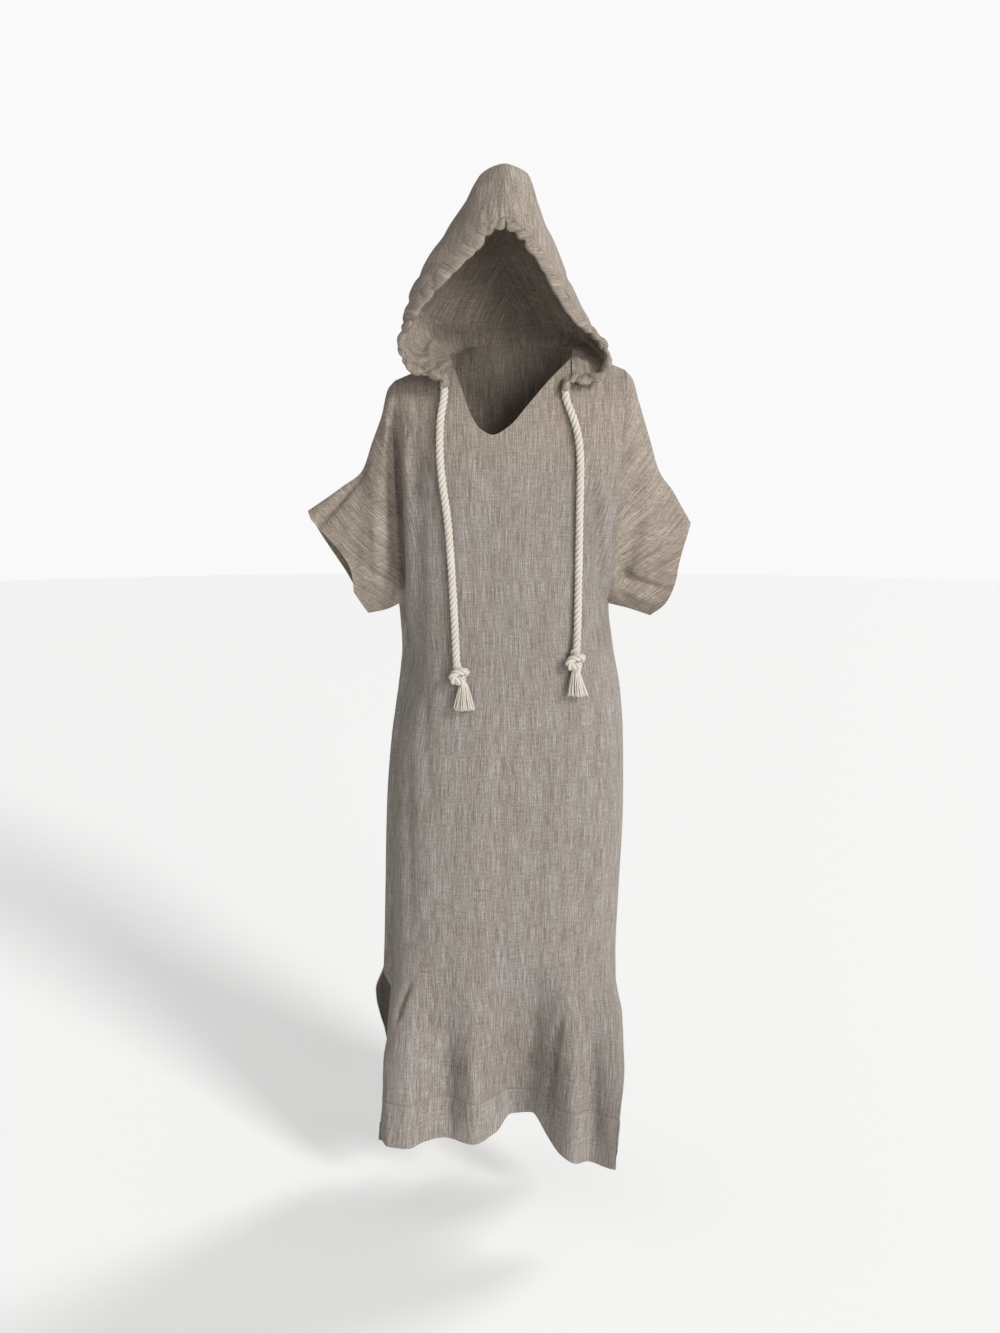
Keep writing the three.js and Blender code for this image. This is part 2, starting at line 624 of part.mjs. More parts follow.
function hoodGeometry(side) {
  const sign = hoodSide[side];
  const seam = neckSeam(side);
  const perSeam = grid.hoodStepsPerSeam;
  const columns = seam.length * perSeam;
  const points = rowShares.map((share) => {
    const { centre, toCloth } = rimFrame(side, share);
    const at = share / rimEnd;
    const start = centre.clone().addScaledVector(toCloth, flatSide + cloth.seamGap + 0.5);
    const curve = new THREE.CubicBezierCurve3(
      start,
      hoodPull(side, "side", at),
      hoodPull(side, "rear", at),
      new THREE.Vector3(0, lookUp(hoodRows, "share", "seamY", at), lookUp(hoodRows, "share", "seamZ", at)),
    );
    return [...Array(columns + 1).keys()].map((i) => ({ p: curve.getPoint(i / columns) }));
  });

  // The last rows run into the neck seam, and the edge itself follows the panels' neck edge just above it.
  const lastRow = rowShares.length - 1;
  const edge = [points[lastRow][0].p.clone()];
  const stations = [edge[0], ...seam];
  for (let i = 1; i <= columns; i++) {
    const next = Math.ceil(i / perSeam);
    edge.push(mixPoint(stations[next - 1], stations[next], (((i - 1) % perSeam) + 1) / perSeam));
  }
  const shift = edge.map((p, i) => p.clone().sub(points[lastRow][i].p));
  points.forEach((row, j) => {
    const pull = smooth(0.72, 1, rowShares[j] / rimEnd);
    row.forEach((at, i) => at.p.addScaledVector(shift[i], pull));
  });
  points[lastRow].forEach((at, i) => {
    if (i < perSeam) return;
    at.n = neckNormal(at.p, neck.hoodLean);
    const run = edge[Math.min(columns, i + 1)].clone().sub(edge[i - 1]).normalize();
    const up = at.n.clone().cross(run).normalize();
    at.p.addScaledVector(up, cloth.seamGap * Math.sign(up.z));
  });

  // The centre seam lies in one plane, from the rim over the peak to the back of the neck.
  const centreLine = [...points[0].map((at) => at), ...points.slice(1).map((row) => row[columns])];
  const seamNormals = centreLine.map((at, k) => {
    const before = centreLine[Math.max(0, k - 1)].p;
    const after = centreLine[Math.min(centreLine.length - 1, k + 1)].p;
    return new THREE.Vector3(0, -(after.z - before.z), after.y - before.y).normalize();
  });
  centreLine.forEach((at, k) => {
    at.p.x = sign * (cloth.seamGap / 2);
    if (k < centreLine.length - 1) at.n = seamNormals[k];
    else at.n = neckNormal(new THREE.Vector3(neck.axisX, at.p.y, 0), neck.hoodLean);
  });
  return clothWall(points, -sign, () => true, () => cloth.wall);
}

// The ruched casing: rings round the rim, even where the hood's cloth meets it and gathered elsewhere.
function casingGeometry(side) {
  const perRow = casing.stationsPerRow;
  const shares = [];
  rowShares.slice(1).forEach((share, j) => {
    for (let k = 0; k < perRow; k++) shares.push([j, k / perRow]);
  });
  const frames = rowShares.map((share) => rimFrame(side, share));
  const blend = ([j, t]) => ({
    centre: mixPoint(frames[j].centre, frames[j + 1].centre, t),
    travel: mixPoint(frames[j].travel, frames[j + 1].travel, t).normalize(),
    toCloth: mixPoint(frames[j].toCloth, frames[j + 1].toCloth, t),
  });
  const mouth = [0, 0.25, 0.5, 0.75, 1].map((t) => rimFrame(side, mix(rimEnd, 1, t)));
  const rings = [...shares.map(blend), ...mouth];
  rings[0].centre.x = hoodSide[side] * (cloth.seamGap / 2);
  rings[0].travel = new THREE.Vector3(hoodSide[side], 0, 0);
  const vertices = [];
  rings.forEach(({ centre, travel, toCloth }, i) => {
    const outwards = travel.clone().cross(toCloth).normalize();
    const wave = Math.cos((2 * Math.PI * casing.gathers * i) / (rings.length - 1));
    const uneven = 0.7 + 0.3 * Math.sin(i * 0.9);
    for (let k = 0; k < casing.sides; k++) {
      const angle = (2 * Math.PI * (k + 0.5)) / casing.sides;
      const away = (1 - Math.cos(angle)) / 2; // 0 on the side of the hood's cloth
      const gather = -casing.gatherDepth * uneven * (0.5 + 0.5 * wave) * away;
      const p = centre
        .clone()
        .addScaledVector(toCloth, (casing.halfWidth + gather) * Math.cos(angle))
        .addScaledVector(outwards, (casing.halfDepth + gather) * Math.sin(angle));
      vertices.push(...p.toArray());
    }
  });
  const faces = [];
  const n = casing.sides;
  for (let i = 0; i < rings.length - 1; i++)
    for (let k = 0; k < n; k++) {
      const [a, b] = [i * n + k, i * n + ((k + 1) % n)];
      faces.push(a, b, b + n, a, b + n, a + n);
    }
  const end = (rings.length - 1) * n;
  for (let k = 1; k < n - 1; k++) faces.push(0, k + 1, k, end, end + k, end + k + 1);
  return closedGeometry(vertices, faces);
}

// ---------------------------------------------------------------- rope ends
function cordGeometry(side) {
  const circle = [...Array(rope.sides).keys()].map((k) => {
    const angle = (2 * Math.PI * k) / rope.sides;
    return new THREE.Vector2((rope.diameter / 2) * Math.cos(angle), (rope.diameter / 2) * Math.sin(angle));
  });
  return new THREE.ExtrudeGeometry(new THREE.Shape(circle), {
    steps: rope.steps,
    extrudePath: new THREE.CatmullRomCurve3(routes[side].map(toVector), false, "centripetal"),
  });
}

// The overhand knot: a lump with the groove between its two wraps running round it at a slant.
function knotGeometry(side) {
  const geometry = mergedPositions(new THREE.SphereGeometry(0.5, 14, 9));
  const at = geometry.attributes.position;
  for (let i = 0; i < at.count; i++) {
    const v = new THREE.Vector3().fromBufferAttribute(at, i).normalize();
    const slant = v.y + 0.55 * hoodSide[side] * v.x;
    const groove = knot.strandGroove * Math.exp(-((slant / 0.28) ** 2));
    const size = new THREE.Vector3(knot.width / 2 - groove, knot.height / 2, knot.depth / 2 - groove);
    at.setXYZ(i, v.x * size.x, v.z * size.z, v.y * size.y);
  }
  const { x, y, z } = knots[side];
  return closedGeometry([...at.array].map((value, i) => value + [x, y, z][i % 3]), [...geometry.index.array]);
}

const mergedPositions = (geometry) => {
  geometry.deleteAttribute("normal");
  geometry.deleteAttribute("uv");
  return mergeVertices(geometry, 1e-4);
};

function toSolid(geometry) {
  const merged = geometry.index && !geometry.attributes.uv ? geometry : mergedPositions(geometry);
  return new wasm.Manifold(
    new wasm.Mesh({
      numProp: 3,
      vertProperties: new Float32Array(merged.attributes.position.array),
      triVerts: new Uint32Array(merged.index.array),
    }),
  );
}

// The frayed end: locks that hang from a small head and spread downwards, roots fused in the head.
function tasselGeometry(side) {
  const { tasselX, tasselY, tasselZ, lean } = knots[side];
  const head = new THREE.CylinderGeometry(tassel.headRadius * 0.7, tassel.headRadius, tassel.headHeight, 12);
  head.rotateX(Math.PI / 2);
  head.translate(tasselX, tasselY, tasselZ - tassel.headHeight / 2);
  let solid = toSolid(mergedPositions(head));
  for (let k = 0; k < tassel.locks; k++) {
    const angle = (2 * Math.PI * k) / tassel.locks;
    const length = tassel.length - tassel.headHeight / 2 - 2 * Math.abs(Math.sin(k * 2.1));
    const lock = new THREE.CylinderGeometry(tassel.lockWidth / 3, tassel.lockWidth / 2, length, 4, 3);
    lock.rotateX(Math.PI / 2);
    const merged = mergedPositions(lock);
    const at = merged.attributes.position;
    for (let i = 0; i < at.count; i++) {
      const down = clamp01(0.5 - at.getZ(i) / length);
      const out = mix(tassel.topRadius, tassel.bottomRadius, down ** 0.8);
      at.setXYZ(
        i,
        at.getX(i) + tasselX + lean * down + out * Math.cos(angle),
        at.getY(i) + tasselY + 0.75 * out * Math.sin(angle),
        tasselZ - tassel.headHeight / 2 - down * length,
      );
    }
    solid = solid.add(toSolid(merged));
  }
  const made = solid.getMesh();
  return closedGeometry([...made.vertProperties], [...made.triVerts]);
}

// ---------------------------------------------------------------- the garment
const linen = () => new THREE.MeshStandardMaterial({ color: 0x9b9184, roughness: 0.92, metalness: 0 });
const cotton = () => new THREE.MeshStandardMaterial({ color: 0xd7cdbe, roughness: 0.9, metalness: 0 });
const kaftan = new THREE.Group();

function addPiece(name, geometry, material) {
  const mesh = new THREE.Mesh(geometry, material);
  mesh.name = name;
  kaftan.add(mesh);
}

addPiece("front_panel", panelGeometry("front", frontColumns), linen());
addPiece("back_panel", panelGeometry("back", backColumns), linen());
for (const side of ["left", "right"]) {
  addPiece(`hood_${side}`, hoodGeometry(side), linen());
  addPiece(`casing_${side}`, casingGeometry(side), linen());
  addPiece(`cord_${side}`, cordGeometry(side), cotton());
  addPiece(`knot_${side}`, knotGeometry(side), cotton());
  addPiece(`tassel_${side}`, tasselGeometry(side), cotton());
}

export default kaftan;
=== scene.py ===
import bisect
import bmesh
import bpy
import functools
import math
import random
from mathutils import Matrix, Vector, noise


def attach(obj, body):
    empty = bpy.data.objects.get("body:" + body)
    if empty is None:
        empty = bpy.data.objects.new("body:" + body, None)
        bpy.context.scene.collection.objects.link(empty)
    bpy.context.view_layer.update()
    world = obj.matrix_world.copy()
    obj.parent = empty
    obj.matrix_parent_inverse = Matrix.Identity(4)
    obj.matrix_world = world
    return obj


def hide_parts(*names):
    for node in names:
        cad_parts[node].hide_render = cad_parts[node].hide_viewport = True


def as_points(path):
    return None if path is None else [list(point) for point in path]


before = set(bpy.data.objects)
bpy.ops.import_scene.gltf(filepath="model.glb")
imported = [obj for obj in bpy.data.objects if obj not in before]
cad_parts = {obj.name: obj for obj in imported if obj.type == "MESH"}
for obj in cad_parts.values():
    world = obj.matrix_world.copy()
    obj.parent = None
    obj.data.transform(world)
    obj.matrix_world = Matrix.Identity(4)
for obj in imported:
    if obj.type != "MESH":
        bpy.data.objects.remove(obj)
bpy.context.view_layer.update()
print("frame:", len(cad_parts), "nodes")

# A hooded kaftan in metres: +Z is up, -Y is its front, and the origin is the middle of the shoulder line.


def mix(a, b, t):
    return a + (b - a) * t


def clamp01(t):
    return min(1.0, max(0.0, t))


def smooth(start, end, value):
    t = clamp01((value - start) / (end - start))
    return t * t * (3 - 2 * t)


def makeTable(names, rows):  # a table whose rows have named columns
    return [dict(zip(names.split(), row)) for row in rows]


def foldTable(rows):
    return makeTable("x1 z1 x2 z2 bow width depth", rows)


def hermite(t):  # shares of the start, the slope there, the end and the slope there in a smooth curve
    t2, t3 = t * t, t * t * t
    return 2 * t3 - 3 * t2 + 1, t3 - 2 * t2 + t, 3 * t2 - 2 * t3, t3 - t2


curves = {}


def lookUp(table, wanted, at):  # value at a place along the first column, on a curve that never overshoots
    key = (id(table), wanted)
    if key not in curves:
        along = next(iter(table[0]))
        rows = sorted(table, key=lambda row: row[along])
        places = [row[along] for row in rows]
        values = [row[wanted] for row in rows]
        rises = [(values[i + 1] - values[i]) / (places[i + 1] - places[i]) for i in range(len(rows) - 1)]
        inner = [2 * a * b / (a + b) if a * b > 0 else 0.0 for a, b in zip(rises, rises[1:])]
        curves[key] = (places, values, [0.0] + inner + [0.0])
    places, values, slopes = curves[key]
    if at <= places[0]:
        return values[0]
    if at >= places[-1]:
        return values[-1]
    i = bisect.bisect_right(places, at) - 1
    span = places[i + 1] - places[i]
    start, leave, end, arrive = hermite((at - places[i]) / span)
    return start * values[i] + leave * slopes[i] * span + end * values[i + 1] + arrive * slopes[i + 1] * span


def curvePoint(points, i, t):  # point of a round curve through the points, on its stretch i
    p1, p2 = points[i], points[i + 1]
    p0 = points[i - 1] if i > 0 else p1 * 2 - p2
    p3 = points[i + 2] if i + 2 < len(points) else p2 * 2 - p1
    d0, d1, d2 = [max((b - a).length, 1e-7) ** 0.5 for a, b in ((p0, p1), (p1, p2), (p2, p3))]
    leaving = ((p1 - p0) / d0 - (p2 - p0) / (d0 + d1) + (p2 - p1) / d1) * d1
    arriving = ((p2 - p1) / d1 - (p3 - p1) / (d1 + d2) + (p3 - p2) / d2) * d1
    start, leave, end, arrive = hermite(t)
    return p1 * start + leaving * leave + p2 * end + arriving * arrive


def evenPlaces(points, steps):  # even distances along the points as index and share, and the length
    lengths = [0.0]
    for a, b in zip(points, points[1:]):
        lengths.append(lengths[-1] + (b - a).length)
    places = []
    for k in range(steps + 1):
        wanted = lengths[-1] * k / steps
        i = min(max(bisect.bisect_right(lengths, wanted) - 1, 0), len(points) - 2)
        places.append((i, (wanted - lengths[i]) / max(lengths[i + 1] - lengths[i], 1e-9)))
    return places, lengths[-1]


def smoothPath(rows, steps):  # evenly spaced points along the round curve through the rows
    points, parts = [Vector(row) for row in rows], 16
    fine = [curvePoint(points, k // parts, k % parts / parts) for k in range(parts * (len(points) - 1))]
    fine.append(points[-1])
    places, length = evenPlaces(fine, steps)
    return [fine[i].lerp(fine[i + 1], t) for i, t in places], length


def travelAt(path, i):
    return (path[min(i + 1, len(path) - 1)] - path[max(i - 1, 0)]).normalized()


def pathFrames(path, side):  # the direction of travel and two directions across, without twist
    frames = []
    for i in range(len(path)):
        travel = travelAt(path, i)
        if frames:
            side = frames[-1][0].rotation_difference(travel) @ frames[-1][1]
        side = (side - travel * side.dot(travel)).normalized()
        frames.append((travel, side, travel.cross(side)))
    return frames


joinWithin = {"tube": 1e-6, "cloth": 1e-5}


def addGrid(bm, columns, rows, place, flat, turned=False):
    # a sheet of quads whose corner (c, r) goes to place(c, r) and is laid out flat at flat(c, r)
    layouts = bm.loops.layers.uv.get("flatCut") or bm.loops.layers.uv.new("flatCut")
    corners = {}
    for v in bmesh.ops.create_grid(bm, x_segments=columns, y_segments=rows, size=1)["verts"]:
        c, r = round((v.co.x + 1) / 2 * columns), round((1 - v.co.y) / 2 * rows)
        corners[v] = (c, r, flat(c, r))
        v.co = place(c, r)
    faces = {face for v in corners for face in v.link_faces}
    for face in faces:
        for loop in face.loops:
            loop[layouts].uv = corners[loop.vert][2]
    if turned:
        bmesh.ops.reverse_faces(bm, faces=list(faces))
    return {(c, r): v for v, (c, r, _) in corners.items()}


def addTube(bm, sides, rows, place, flat):  # a grid whose first and last columns are joined
    made = addGrid(bm, sides, rows, place, flat)
    bmesh.ops.remove_doubles(bm, verts=list(made.values()), dist=joinWithin["tube"])


def addObject(name, data):
    made = bpy.data.objects.new(name, data)
    bpy.context.scene.collection.objects.link(made)
    return made


def makeMesh(name, bm, material):
    mesh = bpy.data.meshes.new(name)
    bm.to_mesh(mesh)
    bm.free()
    mesh.materials.append(material)
    return mesh


def makePiece(name, bm, material):
    for face in bm.faces:
        face.smooth = True
    for edge in bm.edges:
        edge.smooth = not edge.is_boundary
    made = addObject(name, makeMesh(name, bm, material))
    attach(made, "root")
    return made


def addWall(made, thickness):
    wall = made.modifiers.new("wall", "SOLIDIFY")
    wall.thickness, wall.offset = thickness, -1
    return wall


camera = {"place": (-0.008, -2.3, -0.15), "pitchDown": 8.63, "lens": 36.0, "sensor": 36.0}


def makeCamera():
    lens = bpy.data.cameras.new("camera")
    lens.lens = camera["lens"]
    lens.sensor_width = camera["sensor"]
    made = addObject("camera", lens)
    made.location = camera["place"]
    made.rotation_euler = (math.radians(90 - camera["pitchDown"]), 0, 0)
    bpy.context.scene.camera = made


makeCamera()


def setInputs(tree, node, values):  # links what comes from another node and sets the rest
    for name, value in values.items():
        if isinstance(value, bpy.types.NodeSocket):
            tree.links.new(value, node.inputs[name])
        else:
            node.inputs[name].default_value = value


def addNode(tree, kind, inputs, **settings):  # gives the new node's outputs
    node = tree.nodes.new(kind)
    for name, value in settings.items():
        setattr(node, name, value)
    setInputs(tree, node, inputs)
    return node.outputs


def newMaterial(name, surface):
    material = bpy.data.materials.new(name)
    material.use_nodes = True
    shader = material.node_tree.nodes["Principled BSDF"]
    setInputs(material.node_tree, shader, surface)
    return material, material.node_tree, shader


def combine(tree, operation, a, b=0.0):  # the value of a sum, product or other operation
    return addNode(tree, "ShaderNodeMath", {0: a, 1: b}, operation=operation)[0]


def weightedSum(tree, values, weights):
    parts = [combine(tree, "MULTIPLY", values[name], weight) for name, weight in weights.items()]
    return functools.reduce(lambda total, part: combine(tree, "ADD", total, part), parts)


def stretchedNoise(tree, layout, across, along, detail, roughness, shift):
    scale, shifts = (1 / across, 1 / along, 1.0), (shift, shift * 0.7, shift)
    spread = addNode(tree, "ShaderNodeVectorMath", {0: layout, 1: scale}, operation="MULTIPLY")[0]
    moved = addNode(tree, "ShaderNodeVectorMath", {0: spread, 1: shifts}, operation="ADD")[0]
    values = {"Vector": moved, "Scale": 1.0, "Detail": detail, "Roughness": roughness}
    return addNode(tree, "ShaderNodeTexNoise", values)[0]


def layNoises(tree, noises):  # the noises by name and the two coordinates of the flat cut
    layout = addNode(tree, "ShaderNodeUVMap", {}, uv_map="flatCut")[0]
    values = {name: stretchedNoise(tree, layout, *row) for name, row in noises.items()}
    return values, addNode(tree, "ShaderNodeSeparateXYZ", {0: layout})


def colourRamp(tree, value, stops):  # the stops are its start, its end and any between
    ramp = addNode(tree, "ShaderNodeValToRGB", {"Fac": value})[0]
    elements = ramp.node.color_ramp.elements
    for i in (0, 1):
        elements[i].position, elements[i].color = stops[i]
    for place, colour in stops[2:]:
        elements.new(place).color = colour
    return ramp


def smoothRange(tree, value, start, end, first=0.0, last=1.0):
    values = {"Value": value, 1: start, 2: end, 3: first, 4: last}
    return addNode(tree, "ShaderNodeMapRange", values, interpolation_type="SMOOTHSTEP")[0]


def addBumps(tree, values, layers):  # one over the other, each with its depth and strength
    under = {}
    for name, (depth, strength) in layers.items():
        inputs = {"Height": values[name], "Distance": depth, "Strength": strength, **under}
        under = {"Normal": addNode(tree, "ShaderNodeBump", inputs)[0]}
    return under["Normal"]


linen = {
    "noises": {  # size across and along the grain, detail, roughness and shift
        "warp": (0.0018, 0.042, 3.0, 0.62, 0.0),
        "weft": (0.0294, 0.00144, 2.0, 0.6, 17.0),
        "fleck": (0.00099, 0.0055, 2.0, 0.7, 31.0),
        "patch": (0.018, 0.156, 3.0, 0.5, 53.0),
        "crinkle": (0.0062, 0.05, 2.0, 0.55, 71.0),
    },
    "weights": {"warp": 0.64, "weft": 0.27, "fleck": 0.5, "patch": 0.17},
    "sewn": {"doubled": 0.022, "line": -0.07},  # lighter where the cloth lies double, and a painted shade line along the seam where it turns
    "tones": [
        (0.6, (0.142, 0.108, 0.08, 1)),
        (0.98, (0.485, 0.43, 0.37, 1)),
        (0.785, (0.285, 0.236, 0.192, 1)),
    ],
    "greyer": (0.93, 0.99, 1.09, 1),  # the body's cloth beside the warmer sleeves and hood
    "greyBelow": (-0.24, -0.08),
    "greyLeast": 0.3,
    "thread": 0.0013,
    "bumps": {"weave": (0.0003, 0.5), "tone": (0.0006, 0.6), "crinkle": (0.0022, 0.7)},
    "surface": {"Roughness": 0.93, "Specular IOR Level": 0.25, "Sheen Weight": 0.05, "Sheen Roughness": 0.6},
}


def makeLinen():
    material, tree, shader = newMaterial("slubbyLinen", linen["surface"])
    values, cut = layNoises(tree, linen["noises"])
    values["tone"] = weightedSum(tree, values, linen["weights"])
    values["doubled"] = addNode(tree, "ShaderNodeAttribute", {}, attribute_name="doubled")["Fac"]
    # painted shade: a narrow dark line where the doubled hem and slit facings meet the single cloth, standing
    # in for the shadow of the fold and its stitching
    middle = combine(tree, "ABSOLUTE", combine(tree, "SUBTRACT", values["doubled"], 0.5))
    values["line"] = combine(tree, "SUBTRACT", 1.0, combine(tree, "MULTIPLY", middle, 2.0))
    sewn = weightedSum(tree, values, linen["sewn"])
    colour = colourRamp(tree, combine(tree, "ADD", values["tone"], sewn), linen["tones"])
    grey = smoothRange(tree, cut[1], *linen["greyBelow"], 1.0, 0.0)
    share = combine(tree, "MULTIPLY", grey, combine(tree, "ADD", values["patch"], linen["greyLeast"]))
    tint = {"Factor": share, 6: colour, 7: linen["greyer"]}
    colour = addNode(tree, "ShaderNodeMix", tint, data_type="RGBA", blend_type="MULTIPLY")[2]
    turns = 2 * math.pi / linen["thread"]
    threads = [combine(tree, "SINE", combine(tree, "MULTIPLY", cut[i], turns)) for i in (0, 1)]
    values["weave"] = combine(tree, "MULTIPLY", *threads)
    setInputs(tree, shader, {"Base Color": colour, "Normal": addBumps(tree, values, linen["bumps"])})
    return material


cotton = {
    "noises": {"fibre": (0.0006, 0.006, 3.0, 0.65, 0.0), "soil": (0.02, 0.05, 2.0, 0.5, 9.0)},
    "weights": {"fibre": 0.7, "soil": 0.35, "yarns": 0.06},
    "tones": [(0.3, (0.6, 0.53, 0.44, 1)), (0.72, (0.86, 0.81, 0.73, 1))],
    "yarn": 0.0014,
    "yarnSlant": 0.6,
    "groove": (0.0034, 0.0066),  # how far round a strand the painted shade of its groove starts and ends
    # colour of the painted shade in the grooves between strands
    "paintedGrooveShade": (0.36, 0.3, 0.235, 1),
    "bumps": {"yarns": (0.0006, 0.6), "fibre": (0.0005, 0.7)},
    "surface": {"Roughness": 0.9, "Specular IOR Level": 0.25, "Sheen Weight": 0.2, "Sheen Roughness": 0.5},
}


def makeCotton():
    material, tree, shader = newMaterial("twistedCotton", cotton["surface"])
    values, cut = layNoises(tree, cotton["noises"])
    slant = combine(tree, "ADD", cut[0], combine(tree, "MULTIPLY", cut[1], cotton["yarnSlant"]))
    values["yarns"] = combine(tree, "SINE", combine(tree, "MULTIPLY", slant, 2 * math.pi / cotton["yarn"]))
    colour = colourRamp(tree, weightedSum(tree, values, cotton["weights"]), cotton["tones"])
    # painted shade: each strand's sides, where it lies in the grooves between strands, are darkened in colour
    paintedShadeShare = smoothRange(tree, combine(tree, "ABSOLUTE", cut[0]), *cotton["groove"])
    shading = {"Factor": paintedShadeShare, 6: colour, 7: cotton["paintedGrooveShade"]}
    colour = addNode(tree, "ShaderNodeMix", shading, data_type="RGBA")[2]
    setInputs(tree, shader, {"Base Color": colour, "Normal": addBumps(tree, values, cotton["bumps"])})
    return material


linenCloth = makeLinen()
cottonYarn = makeCotton()
print("materials: linen and cotton")

# Free rope ends: three strands laid round each other, each with an overhand knot and a frayed end.
rope = {
    "diameter": 0.013,
    "strands": 3,
    "strandRadius": 0.00315,
    "strandOffset": 0.0034,
    "lay": 0.0285,
    "takeUp": 1.25,  # length of a strand for each length of rope
    "sides": 14,
    "step": 0.0016,
    "hidden": 0.006,  # how far each end runs on into the casing and the knot
}

routes = {
    "left": [
        (-0.098, -0.095, -0.0269), (-0.098, -0.0952, -0.033), (-0.0986, -0.099, -0.043),
        (-0.101, -0.104, -0.058), (-0.104, -0.1095, -0.078), (-0.105, -0.1125, -0.098),
        (-0.1055, -0.115, -0.12), (-0.1045, -0.1175, -0.145), (-0.102, -0.12, -0.175),
        (-0.0965, -0.123, -0.214), (-0.0915, -0.126, -0.256), (-0.088, -0.129, -0.305),
        (-0.085, -0.1313, -0.354), (-0.0825, -0.1326, -0.404), (-0.0808, -0.134, -0.44),
        (-0.079, -0.137, -0.4771),
    ],
    "right": [
        (0.098, -0.101, -0.0328), (0.0982, -0.1012, -0.038), (0.1, -0.1024, -0.048),
        (0.105, -0.105, -0.061), (0.111, -0.108, -0.077), (0.117, -0.11, -0.097),
        (0.1205, -0.1115, -0.118), (0.1225, -0.113, -0.146), (0.1225, -0.115, -0.176),
        (0.122, -0.1165, -0.214), (0.1215, -0.118, -0.256), (0.121, -0.1193, -0.305),
        (0.1205, -0.1193, -0.354), (0.12, -0.1203, -0.404), (0.119, -0.124, -0.436),
        (0.118, -0.127, -0.4552),
    ],
}


def layRope(bm, path, length):  # the strands of a rope along a path of evenly spaced points
    frames = pathFrames(path, Vector((0, -1, 0)))
    steps = len(path) - 1
    for strand in range(rope["strands"]):
        rings, outwards = [], []
        for i, point in enumerate(path):
            turn = 2 * math.pi * (length * i / steps / rope["lay"] + strand / rope["strands"])
            outwards.append(frames[i][1] * math.cos(turn) + frames[i][2] * math.sin(turn))
            rings.append(point + outwards[-1] * rope["strandOffset"])

        def place(c, r):  # angle 0 looks away from the middle of the rope
            angle = math.pi * (2 * c / rope["sides"] - 1)
            along = travelAt(rings, r)
            across = along.cross(outwards[r]).normalized()
            out = across.cross(along)
            return rings[r] + (out * math.cos(angle) + across * math.sin(angle)) * rope["strandRadius"]

        def flat(c, r):
            around = math.pi * rope["strandRadius"] * (2 * c / rope["sides"] - 1)
            return (around, rope["takeUp"] * length * r / steps)

        addTube(bm, rope["sides"], steps, place, flat)


def closeEnds(bm, above=-10.0):  # caps the open ends above a height and points the faces outwards
    ends = [edge for edge in bm.edges if edge.is_boundary and edge.verts[0].co.z > above]
    bmesh.ops.holes_fill(bm, edges=ends, sides=0)
    bmesh.ops.recalc_face_normals(bm, faces=list(bm.faces))


def makeRope(name, points, step):
    length = smoothPath(points, 4)[1]
    path, length = smoothPath(points, round(length / step))
    bm = bmesh.new()
    layRope(bm, path, length)
    closeEnds(bm)
    return makePiece(name, bm, cottonYarn), path, length


def makeCord(side):
    route = [Vector(point) for point in routes[side]]
    start = route[0] + Vector((0, 0, rope["hidden"]))
    end = route[-1] + (route[-1] - route[-2]).normalized() * rope["hidden"]
    made, path, length = makeRope("rope_" + side, [start] + route + [end], rope["step"])
    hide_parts("cord_" + side)
    return made, path, length


knot = {
    "left": (-0.075, -0.1415, -0.4924),
    "right": (0.116, -0.132, -0.4702),
    "step": 0.0014,
    "overlap": 0.004,  # how far the rope and the frayed end reach into it
    # one overhand knot: in at the top, down the back, a fat loop low on the left, a wrap up and round
    "turns": [
        (-0.003, 0.004, 0.02), (-0.002, 0.005, 0.012), (0.003, 0.006, 0.004), (0.006, 0.004, -0.004),
        (0.001, 0.0, -0.0095), (-0.007, -0.004, -0.009), (-0.0105, -0.0075, -0.001), (-0.005, -0.009, 0.0055),
        (0.003, -0.0085, 0.0075), (0.0098, -0.003, 0.0065), (0.0098, 0.005, 0.0035), (0.002, 0.009, 0.001),
        (-0.0075, 0.0065, 0.0005), (-0.0095, -0.001, -0.003), (-0.003, -0.007, -0.0055),
        (0.004, -0.006, -0.01), (0.0065, -0.001, -0.0165),
    ],
}
tassel = {
    "left": {"top": (-0.0675, -0.1415, -0.5065), "lean": 0.001, "turn": 0.4},
    "right": {"top": (0.1165, -0.1315, -0.4845), "lean": 0.0045, "turn": 1.7},
    "length": 0.0445, "lengths": (0.9, 1.0),
    "locks": 9, "lockScatter": 0.15, "lockSpread": (0.8, 1.08),
    "yarnsPerLock": 13, "yarnScatter": 0.33, "yarnInset": (0.25, 1.0),
    "yarnRadius": 0.00082, "yarnSwell": 1.25, "sides": 5, "steps": 10,
    "topRadius": 0.0055, "bottomRadius": 0.0168, "flattening": 0.8,
    "phase": (0, 6.28), "wave": (0.0002, 0.0006), "waves": (3, 7),
    "seed": 14,
}


def makeKnot(side):
    turns = [Vector(knot[side]) + Vector(turn) for turn in knot["turns"]]
    overlap = Vector((0, 0, knot["overlap"]))
    turns[0] = Vector(routes[side][-1]) + overlap
    turns[-1] = Vector(tassel[side]["top"]) - overlap
    made = makeRope("overhand_knot_" + side, turns, knot["step"])[0]
    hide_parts("knot_" + side)
    return made


